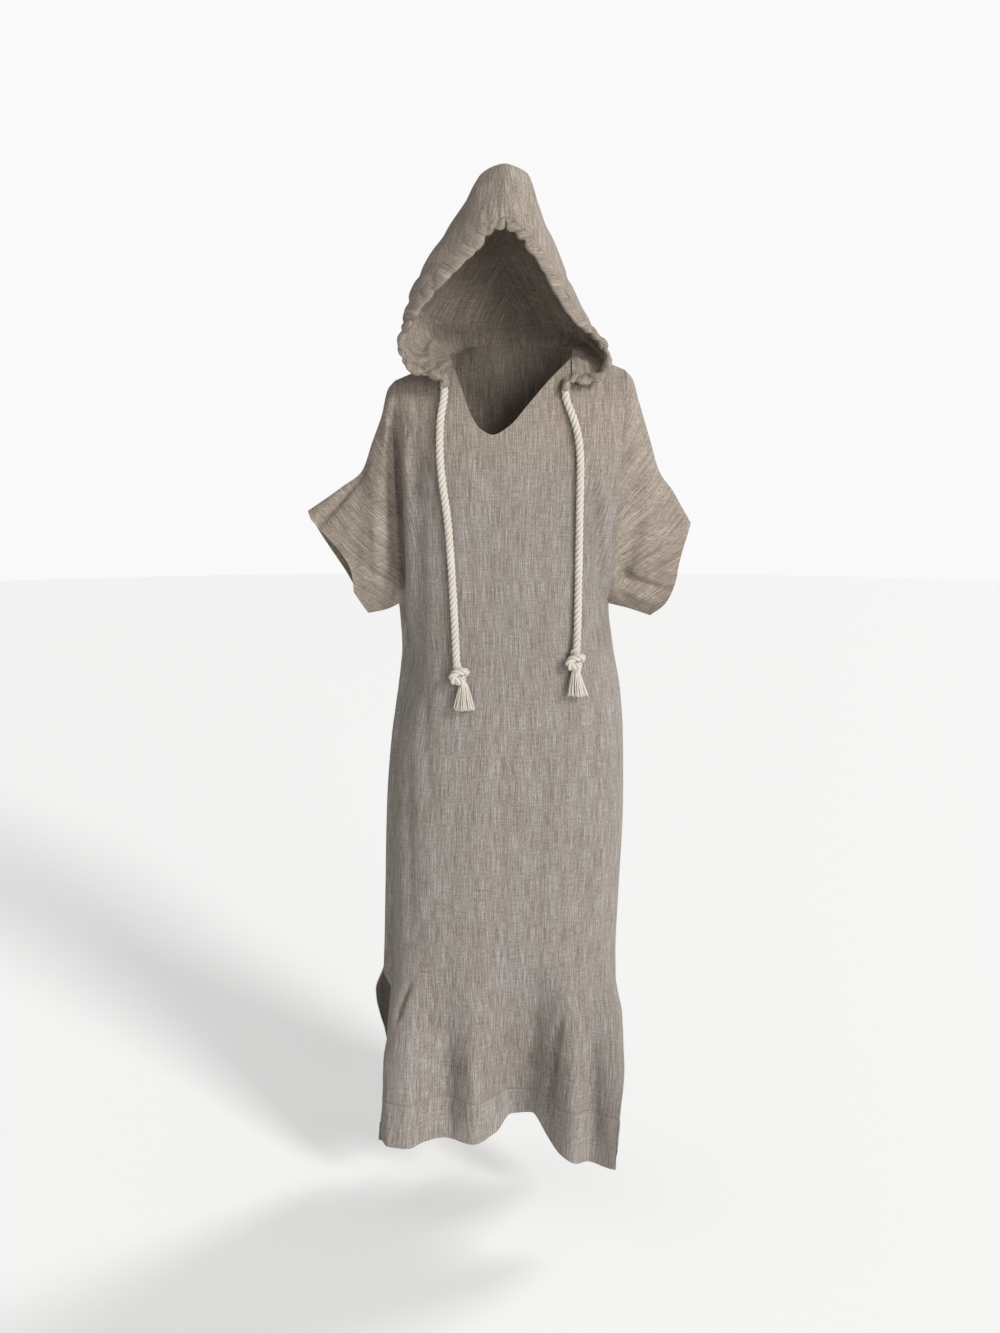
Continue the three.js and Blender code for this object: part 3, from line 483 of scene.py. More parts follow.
def makeTassel(side):
    chance = random.Random(tassel["seed"] + len(side))
    scatter, twist = tassel["lockScatter"], tassel["yarnScatter"]
    top, lean = Vector(tassel[side]["top"]), tassel[side]["lean"]
    sides, steps = tassel["sides"], tassel["steps"]
    bm = bmesh.new()
    for lock in range(tassel["locks"]):
        lockAngle = 2 * math.pi * lock / tassel["locks"] + tassel[side]["turn"]
        lockAngle += chance.uniform(-scatter, scatter)
        spread = chance.uniform(*tassel["lockSpread"])
        for yarn in range(tassel["yarnsPerLock"]):
            angle = lockAngle + chance.uniform(-twist, twist)
            inset = chance.uniform(*tassel["yarnInset"]) ** 0.6
            length = tassel["length"] * chance.uniform(*tassel["lengths"])
            phase, wave, waves = [chance.uniform(*tassel[name]) for name in ("phase", "wave", "waves")]
            line = []
            for i in range(steps + 1):
                t = i / steps
                out = mix(tassel["topRadius"], tassel["bottomRadius"] * spread, t ** 0.9) * inset
                crimp = wave * math.sin(phase + waves * t) * min(1.0, 3 * t)
                x = top.x + lean * t + out * math.cos(angle) + crimp * math.sin(angle)
                y = top.y + tassel["flattening"] * out * math.sin(angle) - crimp * math.cos(angle)
                line.append(Vector((x, y, top.z - length * t)))
            frames = pathFrames(line, Vector((0, -1, 0)))

            def place(c, r):
                turn = 2 * math.pi * c / sides
                radius = tassel["yarnRadius"] * mix(1.0, tassel["yarnSwell"], r / steps)
                return line[r] + (frames[r][1] * math.cos(turn) + frames[r][2] * math.sin(turn)) * radius

            def flat(c, r):  # each yarn has its own place in the layout
                return (0.003 * (c / sides - 0.5), length * r / steps + yarn * 0.05 + lock)

            addTube(bm, sides, steps, place, flat)
    closeEnds(bm)
    made = makePiece("frayed_end_" + side, bm, cottonYarn)
    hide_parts("tassel_" + side)
    return made


for side in ("left", "right"):
    cord, path, length = makeCord(side)
    pieces = [makeKnot(side), makeTassel(side)]
    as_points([tuple(point) for point in path[::4]] + [tuple(path[-1])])
    print("rope", side, round(length, 3), "m")

# Sections of the body: half width to each side, depth to the front and the back, squareness of the plan.
level = {"underarm": -0.388, "slitTop": -1.045, "hangsFrom": 0.09, "hemTurn": -1.265, "hem": -1.343}
shoulder = {"seamY": 0.005, "rounding": 0.115}
sleeveEase = {"wider": 0.008, "over": 0.06}
sections = makeTable("z left right front back leftSquare rightSquare", [
    (0.07, 0.262, 0.262, 0.088, 0.088, 2.6, 2.4),
    (0.0, 0.246, 0.252, 0.097, 0.1, 2.6, 2.4),
    (-0.09, 0.23, 0.24, 0.113, 0.11, 2.6, 2.4),
    (-0.2, 0.21, 0.222, 0.123, 0.112, 2.7, 2.4),
    (-0.3, 0.195, 0.202, 0.127, 0.108, 2.8, 2.4),
    (-0.388, 0.182, 0.18, 0.128, 0.106, 2.9, 2.5),
    (-0.46, 0.178, 0.188, 0.128, 0.108, 3.0, 2.6),
    (-0.54, 0.186, 0.202, 0.127, 0.114, 3.2, 2.7),
    (-0.62, 0.198, 0.208, 0.125, 0.118, 3.3, 2.7),
    (-0.74, 0.208, 0.21, 0.121, 0.118, 3.3, 2.7),
    (-0.9, 0.213, 0.204, 0.116, 0.114, 3.3, 2.7),
    (-1.045, 0.218, 0.199, 0.111, 0.11, 3.2, 2.7),
    (-1.11, 0.227, 0.208, 0.109, 0.11, 3.0, 2.7),
    (-1.18, 0.22, 0.208, 0.107, 0.11, 3.0, 2.7),
    (-1.25, 0.216, 0.2, 0.106, 0.11, 3.0, 2.7),
    (-1.343, 0.224, 0.191, 0.105, 0.11, 3.0, 2.7),
])
leftStep = {"columns": 0.9, "frees": 0.03}  # the left of the front stands back from the side seam
leftSteps = makeTable("z front back", [
    (-0.388, 0.0, 0.0), (-0.46, 0.008, 0.0), (-0.6, 0.015, 0.0), (-1.045, 0.018, 0.0),
    (-1.1, 0.021, -0.009), (-1.15, 0.014, -0.007), (-1.19, 0.003, -0.002), (-1.24, -0.002, 0.0),
    (-1.343, 0.0, 0.0),
])
shoulderLine = makeTable("x z", [
    (-0.26, -0.045), (-0.186, -0.01), (-0.155, 0.003), (-0.097, 0.034), (0.0, 0.068),
    (0.112, 0.044), (0.181, 0.017), (0.203, 0.008), (0.27, -0.024),
])
lastColumn = 24  # columns run round the half section from the left side to the right side
neck = {"sides": (5, 19), "slit": (8, 16), "seamRow": 3}  # columns at seams and slit, and the row sewn
frontTop = makeTable("column x z", [  # shoulder seam, side of the neck, V slit, and the same back up
    (0, -0.186, -0.01), (3, -0.15, 0.0055), (5, -0.097, 0.034), (6, -0.094, 0.0305), (7, -0.09, 0.024),
    (8, -0.086, 0.014), (9, -0.069, -0.033), (10, -0.055, -0.071), (11, -0.039, -0.094), (12, -0.019, -0.103),
    (13, 0.008, -0.088), (14, 0.036, -0.056), (15, 0.072, -0.014), (16, 0.11, 0.025), (17, 0.112, 0.034),
    (18, 0.1125, 0.04), (19, 0.112, 0.044), (21, 0.165, 0.023), (24, 0.203, 0.008),
])
backNeck = makeTable("column x y z", [
    (5, -0.097, 0.005, 0.034), (7, -0.084, 0.042, 0.044), (9, -0.054, 0.065, 0.052), (12, 0.0, 0.074, 0.056),
    (15, 0.062, 0.066, 0.053), (17, 0.096, 0.042, 0.048), (19, 0.112, 0.005, 0.044),
])
sleeves = {
    "left": {
        "overarm": [
            (-0.186, -0.01), (-0.196, -0.022), (-0.207, -0.062), (-0.226, -0.113), (-0.246, -0.164),
            (-0.274, -0.185), (-0.305, -0.207), (-0.338, -0.229),
        ],
        "cuff": [
            (-0.338, -0.229), (-0.322, -0.264), (-0.3, -0.3), (-0.277, -0.335), (-0.259, -0.366),
            (-0.236, -0.405),
        ],
        "underarm": [(-0.182, -0.388), (-0.203, -0.398), (-0.236, -0.405)],
        "frontDepth": 0.044, "backDepth": 0.042, "grooveDepth": 0.056, "grooveWidth": 0.0135, "lip": 0.01,
        "frontCuffInset": 0.022, "cuffOpens": (0.08, 0.78), "grain": (0.35, 0.66),
    },
    "right": {
        "overarm": [
            (0.203, 0.008), (0.215, -0.006), (0.226, -0.039), (0.248, -0.109), (0.266, -0.165),
            (0.287, -0.193), (0.304, -0.222), (0.32, -0.249),
        ],
        "cuff": [
            (0.32, -0.249), (0.307, -0.287), (0.298, -0.322), (0.294, -0.346), (0.278, -0.384),
            (0.252, -0.409),
        ],
        "underarm": [(0.18, -0.388), (0.216, -0.397), (0.252, -0.409)],
        "frontDepth": 0.056, "backDepth": 0.044, "grooveDepth": 0.009, "grooveWidth": 0.02, "lip": 0.0,
        "frontCuffInset": 0.003, "cuffOpens": (0.0, 1.0), "grain": (0.3, 0.62),
    },
}
frontHem = makeTable("x y lift", [  # how far forward the hem hangs, and how far its edge is lifted
    (-0.224, -0.062, -0.006), (-0.208, -0.098, 0.0), (-0.172, -0.106, 0.0), (-0.142, -0.078, 0.0),
    (-0.11, -0.064, 0.0), (-0.056, -0.092, 0.0), (-0.017, -0.062, 0.006), (0.014, -0.034, 0.03),
    (0.048, -0.034, 0.032), (0.076, -0.076, 0.008), (0.098, -0.118, -0.004), (0.122, -0.138, -0.01),
    (0.146, -0.126, -0.012), (0.17, -0.142, -0.012), (0.205, -0.167, -0.006),
])
backHem = makeTable("x y lift", [
    (-0.224, 0.062, 0.0), (-0.196, 0.112, 0.0), (-0.15, 0.092, 0.0), (-0.096, 0.124, 0.0),
    (-0.042, 0.098, 0.0), (0.008, 0.12, 0.0), (0.062, 0.134, 0.0), (0.112, 0.102, 0.0), (0.16, 0.12, 0.0),
    (0.209, 0.07, 0.0),
])
hems = {"front": frontHem, "back": backHem}
forward = {"front": -1, "back": 1}
sideSign = {"left": -1, "right": 1}
for sleeve in sleeves.values():
    for line in ("overarm", "cuff", "underarm"):
        sleeve[line + "Path"] = smoothPath([(x, 0, z) for x, z in sleeve[line]], 200)[0]


def sideOf(x):
    return "left" if x < 0 else "right"


def alongPath(path, share):  # point at a share of an evenly spaced path
    at = clamp01(share) * (len(path) - 1)
    i = min(int(at), len(path) - 2)
    return path[i].lerp(path[i + 1], at - i)


# The deep fold between body and sleeve, and the lean of the cloth on each side of it.
armGroove = {"top": (-0.015, -0.12), "foot": (0.0, 0.07), "onBack": 0.7}
armLip = {"top": (-0.03, -0.15), "foot": (-0.02, 0.07), "ridge": 1.35, "width": 0.75, "onSleeve": -0.1}


def armFoldX(sleeve, z):  # where that fold lies
    return mix(sleeve["overarm"][0][0], sleeve["underarm"][0][0], clamp01(z / level["underarm"]))


def armFoldStrength(shape, z):
    return smooth(*shape["top"], z) * smooth(*[level["underarm"] + foot for foot in shape["foot"]], z)


def armFold(panel, x, z):  # depth of the fold between body and sleeve
    sleeve = sleeves[sideOf(x)]
    reach = math.exp(-(((x - armFoldX(sleeve, z)) / sleeve["grooveWidth"]) ** 2))
    depth = sleeve["grooveDepth"] * (1 if panel == "front" else armGroove["onBack"])
    return -forward[panel] * depth * armFoldStrength(armGroove, z) * reach


def foldLip(x, z, onBody):  # sideways lean of the cloth on each side of that fold, which narrows its mouth
    sleeve, sign = sleeves[sideOf(x)], sideSign[sideOf(x)]
    ridge = armLip["ridge"] * sleeve["grooveWidth"]
    away = (x - armFoldX(sleeve, z)) * sign + (ridge if onBody else -ridge)
    reach = math.exp(-((away / (armLip["width"] * sleeve["grooveWidth"])) ** 2))
    return sign * sleeve["lip"] * (1 if onBody else armLip["onSleeve"]) * armFoldStrength(armLip, z) * reach


def seamDepth(z):  # how far back the side seam lies
    return shoulder["seamY"] * smooth(level["underarm"], level["underarm"] / 2, z)


def clothY(panel, x, z):  # depth of the plain cloth, front or back, over a place given by x and height
    side = sideOf(x)
    ease = sleeveEase["wider"] * smooth(level["underarm"], level["underarm"] + sleeveEase["over"], z)
    halfWidth = lookUp(sections, side, z) + ease
    square = lookUp(sections, side + "Square", z)
    depth = lookUp(sections, panel, z) * max(0.0, 1 - abs(x / halfWidth) ** square) ** (1 / square)
    drop = clamp01((lookUp(shoulderLine, "z", x) - z) / shoulder["rounding"])
    return seamDepth(z) + forward[panel] * depth * math.sqrt(1 - (1 - drop) ** 2) + armFold(panel, x, z)


def sectionPoint(panel, column, z):  # plan point of a column at a height below the underarm
    angle = mix(-math.pi / 2, math.pi / 2, column / lastColumn)
    side = "left" if column < lastColumn / 2 else "right"
    square = lookUp(sections, side + "Square", z)
    halfWidth = lookUp(sections, side, z)
    if side == "left":
        free = 1.0 if panel == "back" else smooth(level["slitTop"], level["slitTop"] - leftStep["frees"], z)
        halfWidth -= lookUp(leftSteps, panel, z) * mix(smooth(0, leftStep["columns"], column), 1, free)
    x = math.copysign(halfWidth * abs(math.sin(angle)) ** (2 / square), math.sin(angle))
    depth = lookUp(sections, panel, z) * max(0.0, math.cos(angle)) ** (2 / square)
    hanging = smooth(level["slitTop"] + level["hangsFrom"], level["hem"], z) ** 0.8
    y = mix(forward[panel] * depth, lookUp(hems[panel], "y", x), hanging)
    return Vector((x, y, z + lookUp(hems[panel], "lift", x) * smooth(level["hemTurn"], level["hem"], z)))


def topPoint(panel, column):  # top edge of a column
    onNeck = neck["sides"][0] <= column <= neck["sides"][1]
    if panel == "back" and onNeck:
        return Vector([lookUp(backNeck, axis, column) for axis in "xyz"])
    x, z = lookUp(frontTop, "x", column), lookUp(frontTop, "z", column)
    onSeam = not onNeck or column in neck["sides"]
    return Vector((x, shoulder["seamY"] if onSeam else clothY("front", x, z), z))


panelGrid = {
    "columns": 112, "topRows": 76, "lowerRows": 184, "evenRows": 0.65, "evenAt": -0.6, "fine": 600,
    "slitColumns": 2, "sleeveColumns": 46, "cuffColumns": 6,
}


def rowShare(t):
    return mix(0.5 - 0.5 * math.cos(math.pi * t), t, panelGrid["evenRows"])


def evenColumns(panel):  # columns at even distances round a section, and those distances from its middle
    fine = [lastColumn * k / panelGrid["fine"] for k in range(panelGrid["fine"] + 1)]
    points = [sectionPoint(panel, column, panelGrid["evenAt"]) for column in fine]
    places, length = evenPlaces(points, panelGrid["columns"])
    columns = [mix(fine[i], fine[i + 1], t) for i, t in places]
    return columns, [length * c / panelGrid["columns"] - length / 2 for c in range(len(columns))]


# Folds pressed or hung into the cloth: both ends as x and height, how far the middle bows to the side,
# half the width, and the depth, which is below 0 for a ridge.
frontFolds = foldTable([
    (-0.152, 0.05, -0.16, -0.64, 0.0, 0.025, 0.015),
    (-0.186, -0.06, -0.186, -0.56, 0.0, 0.0075, 0.008),
    (-0.16, -0.42, -0.166, -1.04, 0.0, 0.018, 0.003),
    (0.1, -1.07, 0.074, -1.335, 0.004, 0.0055, 0.0105),
    (-0.158, -1.03, -0.192, -1.125, 0.003, 0.005, 0.0085),
    (-0.103, -1.12, -0.104, -1.345, 0.0, 0.015, 0.006),
    (-0.056, -1.1, -0.053, -1.345, 0.0, 0.018, -0.006),
    (-0.134, -0.47, -0.127, -0.78, 0.004, 0.011, 0.0042),
    (-0.066, -0.621, 0.094, -0.619, 0.0015, 0.0028, 0.0021),
    (-0.174, -0.03, -0.15, -0.24, -0.004, 0.0052, 0.0066),
    (-0.152, -0.02, -0.134, -0.2, 0.003, 0.0056, 0.0056),
    (-0.128, -0.02, -0.12, -0.17, 0.003, 0.005, 0.0042),
    (0.134, -0.12, 0.176, -0.45, -0.006, 0.008, 0.014),
    (0.07, -0.52, 0.05, -1.02, 0.012, 0.022, 0.0036),
    (-0.03, -0.45, -0.06, -1.03, -0.008, 0.026, -0.0036),
    (0.135, -0.62, 0.12, -1.08, 0.006, 0.015, 0.0038),
    (-0.165, -0.6, -0.158, -1.00, 0.006, 0.01, 0.0034),
    (0.005, -1.02, -0.002, -1.33, 0.004, 0.014, 0.0045),
    (0.15, -1.13, 0.158, -1.345, 0.0, 0.013, 0.0045),
    (-0.086, -0.03, -0.02, -0.14, 0.01, 0.014, -0.0026),
    (0.1, 0.0, 0.03, -0.13, -0.008, 0.014, -0.0026),
])
backFolds = foldTable([
    (0.0, 0.03, 0.004, -0.42, 0.006, 0.03, 0.0102),
    (-0.06, 0.02, -0.12, -0.34, 0.01, 0.02, 0.0078),
    (0.066, 0.02, 0.128, -0.36, -0.012, 0.02, 0.0082),
    (-0.135, -0.42, -0.118, -0.95, -0.008, 0.016, 0.0078),
    (0.12, -0.5, 0.104, -1.06, 0.01, 0.018, 0.0082),
    (-0.036, -0.55, -0.046, -1.33, 0.01, 0.024, 0.0082),
    (0.03, -0.6, 0.02, -1.3, 0.006, 0.022, -0.0082),
    (-0.148, -1.00, -0.152, -1.34, 0.004, 0.014, 0.0095),
    (0.112, -1.05, 0.115, -1.34, -0.004, 0.013, 0.0102),
    (-0.1, -0.3, 0.1, -0.31, 0.006, 0.0035, 0.0024),
    (-0.072, -0.622, 0.082, -0.619, 0.0015, 0.0028, 0.0022),
])
sleeveFolds = {
    "front": foldTable([
        (-0.346, -0.278, -0.222, -0.126, 0.005, 0.0085, 0.01),
        (-0.24, -0.235, -0.262, -0.355, 0.004, 0.014, 0.0036),
        (-0.216, -0.15, -0.214, -0.385, 0.003, 0.01, -0.004),
        (0.182, -0.322, 0.288, -0.362, 0.008, 0.006, 0.0075),
        (0.192, -0.282, 0.214, -0.356, 0.0, 0.006, 0.006),
        (0.186, -0.348, 0.272, -0.386, 0.006, 0.008, -0.0048),
        (0.235, -0.13, 0.225, -0.3, 0.006, 0.014, 0.0036),
        (0.262, -0.19, 0.28, -0.35, 0.0, 0.012, -0.003),
    ]),
    "back": foldTable([
        (-0.322, -0.25, -0.24, -0.17, -0.004, 0.008, 0.006),
        (-0.225, -0.15, -0.245, -0.38, 0.004, 0.014, 0.004),
        (0.222, -0.14, 0.236, -0.385, 0.004, 0.014, 0.0044),
        (0.29, -0.23, 0.262, -0.37, 0.002, 0.009, 0.004),
    ]),
}


foldEnds = {"start": 0.3, "end": 0.72}  # shares of its length by which a fold is at its full depth


def foldDepth(folds, x, z):
    total = 0.0
    for fold in folds:
        alongX, alongZ = fold["x2"] - fold["x1"], fold["z2"] - fold["z1"]
        fromX, fromZ = x - fold["x1"], z - fold["z1"]
        span = math.hypot(alongX, alongZ)
        t = (fromX * alongX + fromZ * alongZ) / span ** 2
        away = (fromX * alongZ - fromZ * alongX) / span - fold["bow"] * 4 * t * (1 - t)
        if 0 < t < 1 and abs(away) <= 3 * fold["width"]:
            ends = smooth(0, foldEnds["start"], t) * smooth(1, foldEnds["end"], t)
            total += fold["depth"] * math.exp(-((away / fold["width"]) ** 2)) * ends
    return total


drape = makeTable("depth width height start slide", [  # wide soft waves, narrow ripples and small puckers
    (0.003, 0.085, 0.42, 0.0, 3.7), (0.0011, 0.017, 0.16, 5.1, 0.0), (0.0006, 0.022, 0.022, 9.3, 0.0),
])
backShift = 3.7


def drapeDepth(x, y, z):  # the uneven hang of light cloth
    total = 0.0
    for wave in drape:
        slide, shift = (wave["slide"], backShift) if y > 0 else (0.0, 0.0)
        place = Vector((x / wave["width"] + slide, wave["start"] + shift, z / wave["height"]))
        total += wave["depth"] * noise.noise(place)
    return total


sleeveShape = {
    "crowding": 1.25,  # how much the columns crowd towards the body
    "roundness": 0.6, "narrowsFrom": 0.4, "atCuff": 0.72,
    "leavesBody": 0.3, "opensFrom": 0.5,
    "layout": 2.0,  # where the sleeves lie in the flat layout, clear of the body
}


def addSleeve(bm, panel, side, shares):
    sleeve, sign, steps = sleeves[side], sideSign[side], panelGrid["sleeveColumns"]
    overarm, cuff, underarm = [sleeve[line + "Path"] for line in ("overarm", "cuff", "underarm")]

    def place(c, r):
        a, b = (c / steps) ** sleeveShape["crowding"], shares[r]
        inner = overarm[0].lerp(underarm[0], b)
        top, bottom = alongPath(overarm, a), alongPath(underarm, a)
        corners = inner.lerp(cuff[0].lerp(cuff[-1], b), a)
        p = top.lerp(bottom, b) + inner.lerp(alongPath(cuff, b), a) - corners
        bulge = math.sin(math.pi * b) ** sleeveShape["roundness"] if 0 < b < 1 else 0.0
        narrowing = mix(1, sleeveShape["atCuff"], smooth(sleeveShape["narrowsFrom"], 1, a))
        free = mix(shoulder["seamY"], 0, b) + forward[panel] * (sleeve[panel + "Depth"] * bulge * narrowing)
        p.y = mix(clothY(panel, inner.x, inner.z), free, smooth(0, sleeveShape["leavesBody"], a))
        if panel == "front":
            first, last = sleeve["cuffOpens"]
            opened = math.sin(math.pi * clamp01((b - first) / (last - first)))
            p.x -= sign * sleeve["frontCuffInset"] * opened * smooth(sleeveShape["opensFrom"], 1, a)
        return p

    def flat(c, r):
        p = place(c, r) - overarm[0]
        angle = -sign * mix(*sleeve["grain"], shares[r])
        u = p.x * math.cos(angle) + p.z * math.sin(angle)
        return (overarm[0].x + u, sleeveShape["layout"] - p.x * math.sin(angle) + p.z * math.cos(angle))

    return addGrid(bm, steps, len(shares) - 1, place, flat, turned=(side == "left") != (panel == "back"))


turned = {"single": 0.0011, "double": 0.0019}
held = {  # where the folds and the fold's lips die out, in metres from a seam or in shares of the height
    "atSeam": (0.001, 0.016), "atNeck": (0, 0.06), "lips": (0.02, 0.05), "lipsBelow": 0.02, "topPower": 6,
}


def pick(grid, places):  # points of a grid with their normals
    return [(grid[place].co.copy(), grid[place].normal.copy()) for place in places]


def makePanel(panel):
    bm = bmesh.new()
    weights = bm.verts.layers.deform.verify()
    doubled = bm.verts.layers.float.new("doubled")
    columns, places = evenColumns(panel)
    topRows, lowerRows, lastBody = panelGrid["topRows"], panelGrid["lowerRows"], panelGrid["columns"]
    shares = [rowShare(r / topRows) for r in range(topRows + 1)]
    tops = [topPoint(panel, column) for column in columns]
    lows = [sectionPoint(panel, column, level["underarm"]) for column in columns]
    lifts = [top.y - clothY(panel, top.x, top.z) for top in tops]
    heights = [mix(level["underarm"], level["hem"], (r + 1) / lowerRows) for r in range(lowerRows)]

    def between(c, r):
        return mix(tops[c].x, lows[c].x, shares[r]), mix(tops[c].z, lows[c].z, shares[r])

    def place(c, r):
        if r > topRows:
            return sectionPoint(panel, columns[c], heights[r - topRows - 1])
        x, z = between(c, r)
        return Vector((x, clothY(panel, x, z) + lifts[c] * (1 - shares[r]) ** held["topPower"], z))

    def flat(c, r):
        if r > topRows:
            return (places[c], heights[r - topRows - 1])
        x, z = between(c, r)
        return (mix(x, places[c], smooth(0.3, 1, shares[r])), z)

    body = addGrid(bm, lastBody, topRows + lowerRows, place, flat, turned=panel == "back")
    folds = dict.fromkeys(body.values(), frontFolds if panel == "front" else backFolds)
    sleeveEdges = {"left": 0, "right": lastBody}
    sleeveGrids = {}
    for side, edge in sleeveEdges.items():
        made = sleeveGrids[side] = addSleeve(bm, panel, side, shares)
        folds.update(dict.fromkeys(made.values(), sleeveFolds[panel]))
        for r in range(topRows + 1):
            made[(0, r)].co = body[(edge, r)].co
        for (c, r), v in made.items():
            v[weights][0] = float(c >= panelGrid["sleeveColumns"] - panelGrid["cuffColumns"])
    atNeck = {}
    for (c, r), v in body.items():
        z = heights[r - topRows - 1] if r > topRows else 0.0
        onSlit = z < level["slitTop"] and min(c, lastBody - c) <= panelGrid["slitColumns"]
        v[doubled] = v[weights][0] = float(z < level["hemTurn"] or onSlit)
        onNeck = neck["sides"][0] <= columns[c] <= neck["sides"][1]
        if panel == "front" and neck["slit"][0] < columns[c] < neck["slit"][1]:
            onNeck = False
        atNeck[v] = smooth(*held["atNeck"], shares[r]) if r <= topRows and onNeck else 1.0
    bm.normal_update()
    moves = {}
    for v, table in folds.items():
        x, y, z = v.co
        depth = foldDepth(table, x, z) + drapeDepth(x, y, z)
        strength = smooth(*held["atSeam"], abs(y - seamDepth(z))) * atNeck.get(v, 1.0)
        moves[v] = v.normal * (-depth * strength)
        if z > level["underarm"] - held["lipsBelow"]:
            moves[v].x += foldLip(x, z, v in atNeck) * smooth(*held["lips"], abs(y))
    for side, edge in sleeveEdges.items():
        for r in range(topRows + 1):
            a, b = sleeveGrids[side][(0, r)], body[(edge, r)]
            moves[a] = moves[b] = (moves[a] + moves[b]) / 2
    for v, move in moves.items():
        v.co += move
    lines = panelLines(panel, body, sleeveGrids, columns, heights)
    bmesh.ops.remove_doubles(bm, verts=list(bm.verts), dist=joinWithin["cloth"])
    made = makePiece(panel + "_cloth", bm, linenCloth)
    made.vertex_groups.new(name="turned")
    wall = addWall(made, turned["double"])
    wall.vertex_group, wall.thickness_vertex_group = "turned", turned["single"] / turned["double"]
    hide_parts(panel + "_panel")
    print(panel, "panel:", len(made.data.polygons), "faces")
    return made, lines


def panelLines(panel, body, sleeveGrids, columns, heights):  # where the sewing runs, as points with normals
    topRows, lastBody, slit = panelGrid["topRows"], panelGrid["columns"], panelGrid["slitColumns"]
    hemRow, slitRow = [
        topRows + 1 + min(range(len(heights)), key=lambda r: abs(heights[r] - level[name]))
        for name in ("hemTurn", "slitTop")
    ]
    lines = [pick(body, [(c, hemRow) for c in range(1, lastBody)])]
    for c in (slit, lastBody - slit):
        lines.append(pick(body, [(c, r) for r in range(slitRow, topRows + panelGrid["lowerRows"] + 1)]))
    for made in sleeveGrids.values():
        c = panelGrid["sleeveColumns"] - panelGrid["cuffColumns"]
        lines.append(pick(made, [(c, r) for r in range(1, topRows)]))
    if panel == "front":
        first, last = neck["slit"]
        atSlit = [c for c in range(lastBody + 1) if first <= columns[c] <= last]
        lines.append(pick(body, [(c, neck["seamRow"]) for c in atSlit]))
    return lines


panels, sewing = {}, []
for panel in ("front", "back"):
    panels[panel], lines = makePanel(panel)
    sewing += lines

# Rim of the face opening, from the top of the opening to the mouth that the rope leaves by.
rims = {
    "left": [
        (0, -0.13, 0.229), (-0.03, -0.128, 0.213), (-0.057, -0.125, 0.191), (-0.088, -0.119, 0.164),
        (-0.117, -0.108, 0.134), (-0.143, -0.095, 0.102), (-0.161, -0.082, 0.068), (-0.169, -0.076, 0.036),
        (-0.157, -0.078, 0.011), (-0.134, -0.085, -0.002), (-0.112, -0.091, -0.006), (-0.101, -0.094, -0.012),
        (-0.0982, -0.095, -0.019), (-0.098, -0.095, -0.026),
    ],
    "right": [
        (0, -0.13, 0.229), (0.03, -0.127, 0.206), (0.052, -0.124, 0.179), (0.073, -0.118, 0.147),
        (0.093, -0.108, 0.114), (0.115, -0.096, 0.084), (0.141, -0.084, 0.061), (0.16, -0.076, 0.042),
        (0.167, -0.075, 0.018), (0.157, -0.079, -0.003), (0.137, -0.086, -0.013), (0.114, -0.093, -0.012),
        (0.102, -0.098, -0.017), (0.0982, -0.101, -0.025), (0.098, -0.101, -0.032),
    ],
}
rimEnd = 0.93  # the casing runs on past the hood's own front edge, down to its mouth
hoodRows = makeTable("share sideX sideY sideZ rearX rearY rearZ seamY seamZ", [
    (-0.08, -0.05, -0.095, 0.28, -0.048, -0.012, 0.346, 0.026, 0.345),  # mirrored, so that the peak is round
    (0.0, 0.0, -0.11, 0.292, 0.0, -0.066, 0.35, -0.018, 0.352),
    (0.08, 0.05, -0.095, 0.28, 0.048, -0.012, 0.346, 0.026, 0.345),
    (0.17, 0.08, -0.084, 0.243, 0.07, 0.02, 0.311, 0.062, 0.324),
    (0.28, 0.116, -0.068, 0.204, 0.096, 0.052, 0.264, 0.098, 0.282),
    (0.4, 0.148, -0.048, 0.168, 0.116, 0.076, 0.216, 0.124, 0.234),
    (0.52, 0.168, -0.026, 0.13, 0.126, 0.092, 0.17, 0.135, 0.186),
    (0.63, 0.172, -0.004, 0.094, 0.128, 0.098, 0.126, 0.132, 0.14),
    (0.73, 0.166, 0.01, 0.066, 0.124, 0.092, 0.092, 0.119, 0.105),
    (0.82, 0.152, 0.014, 0.052, 0.112, 0.08, 0.074, 0.101, 0.083),
    (0.91, 0.13, 0.002, 0.044, 0.104, 0.074, 0.062, 0.086, 0.068),
    (1.0, 0.106, -0.012, 0.04, 0.09, 0.074, 0.056, 0.074, 0.056),
])
hoodReach = {
    "left": makeTable("share reach", [
        (0.0, 1.0), (0.08, 1.0), (0.17, 1.04), (0.28, 1.07), (0.4, 1.08), (0.52, 1.08), (0.63, 1.06),
        (0.73, 1.03), (0.85, 1.0),
    ]),
    "right": makeTable("share reach", [
        (0.0, 1.0), (0.08, 0.95), (0.17, 0.85), (0.28, 0.8), (0.4, 0.76), (0.52, 0.78), (0.63, 0.84),
        (0.73, 0.95), (0.82, 1.04), (0.91, 1.08), (1.0, 1.14),
    ]),
}
casing = {
    "halfWidth": 0.0125, "halfDepth": 0.0082, "leastWidth": 0.002, "leastDepth": 0.0015, "wall": 0.0012,
    "columns": 28, "rows": 420, "seed": 5,
    "firstGather": 0.009, "spacing": (0.009, 0.021), "depth": (0.0026, 0.0062), "width": (0.22, 0.34),
    "slant": (-0.016, 0.016), "reach": (0.012, 0.07), "widening": 9, "facePull": 0.85, "deepest": 0.0088,
    "slit": {"at": 0.0, "depth": 0.0085, "width": 0.0035, "slant": 0.0, "reach": 0.014},
    "swell": 0.0016, "swellLength": 0.024,
    "flatAround": 0.048, "fullness": 1.35,  # the cloth round the casing, and its length before the gathering
}
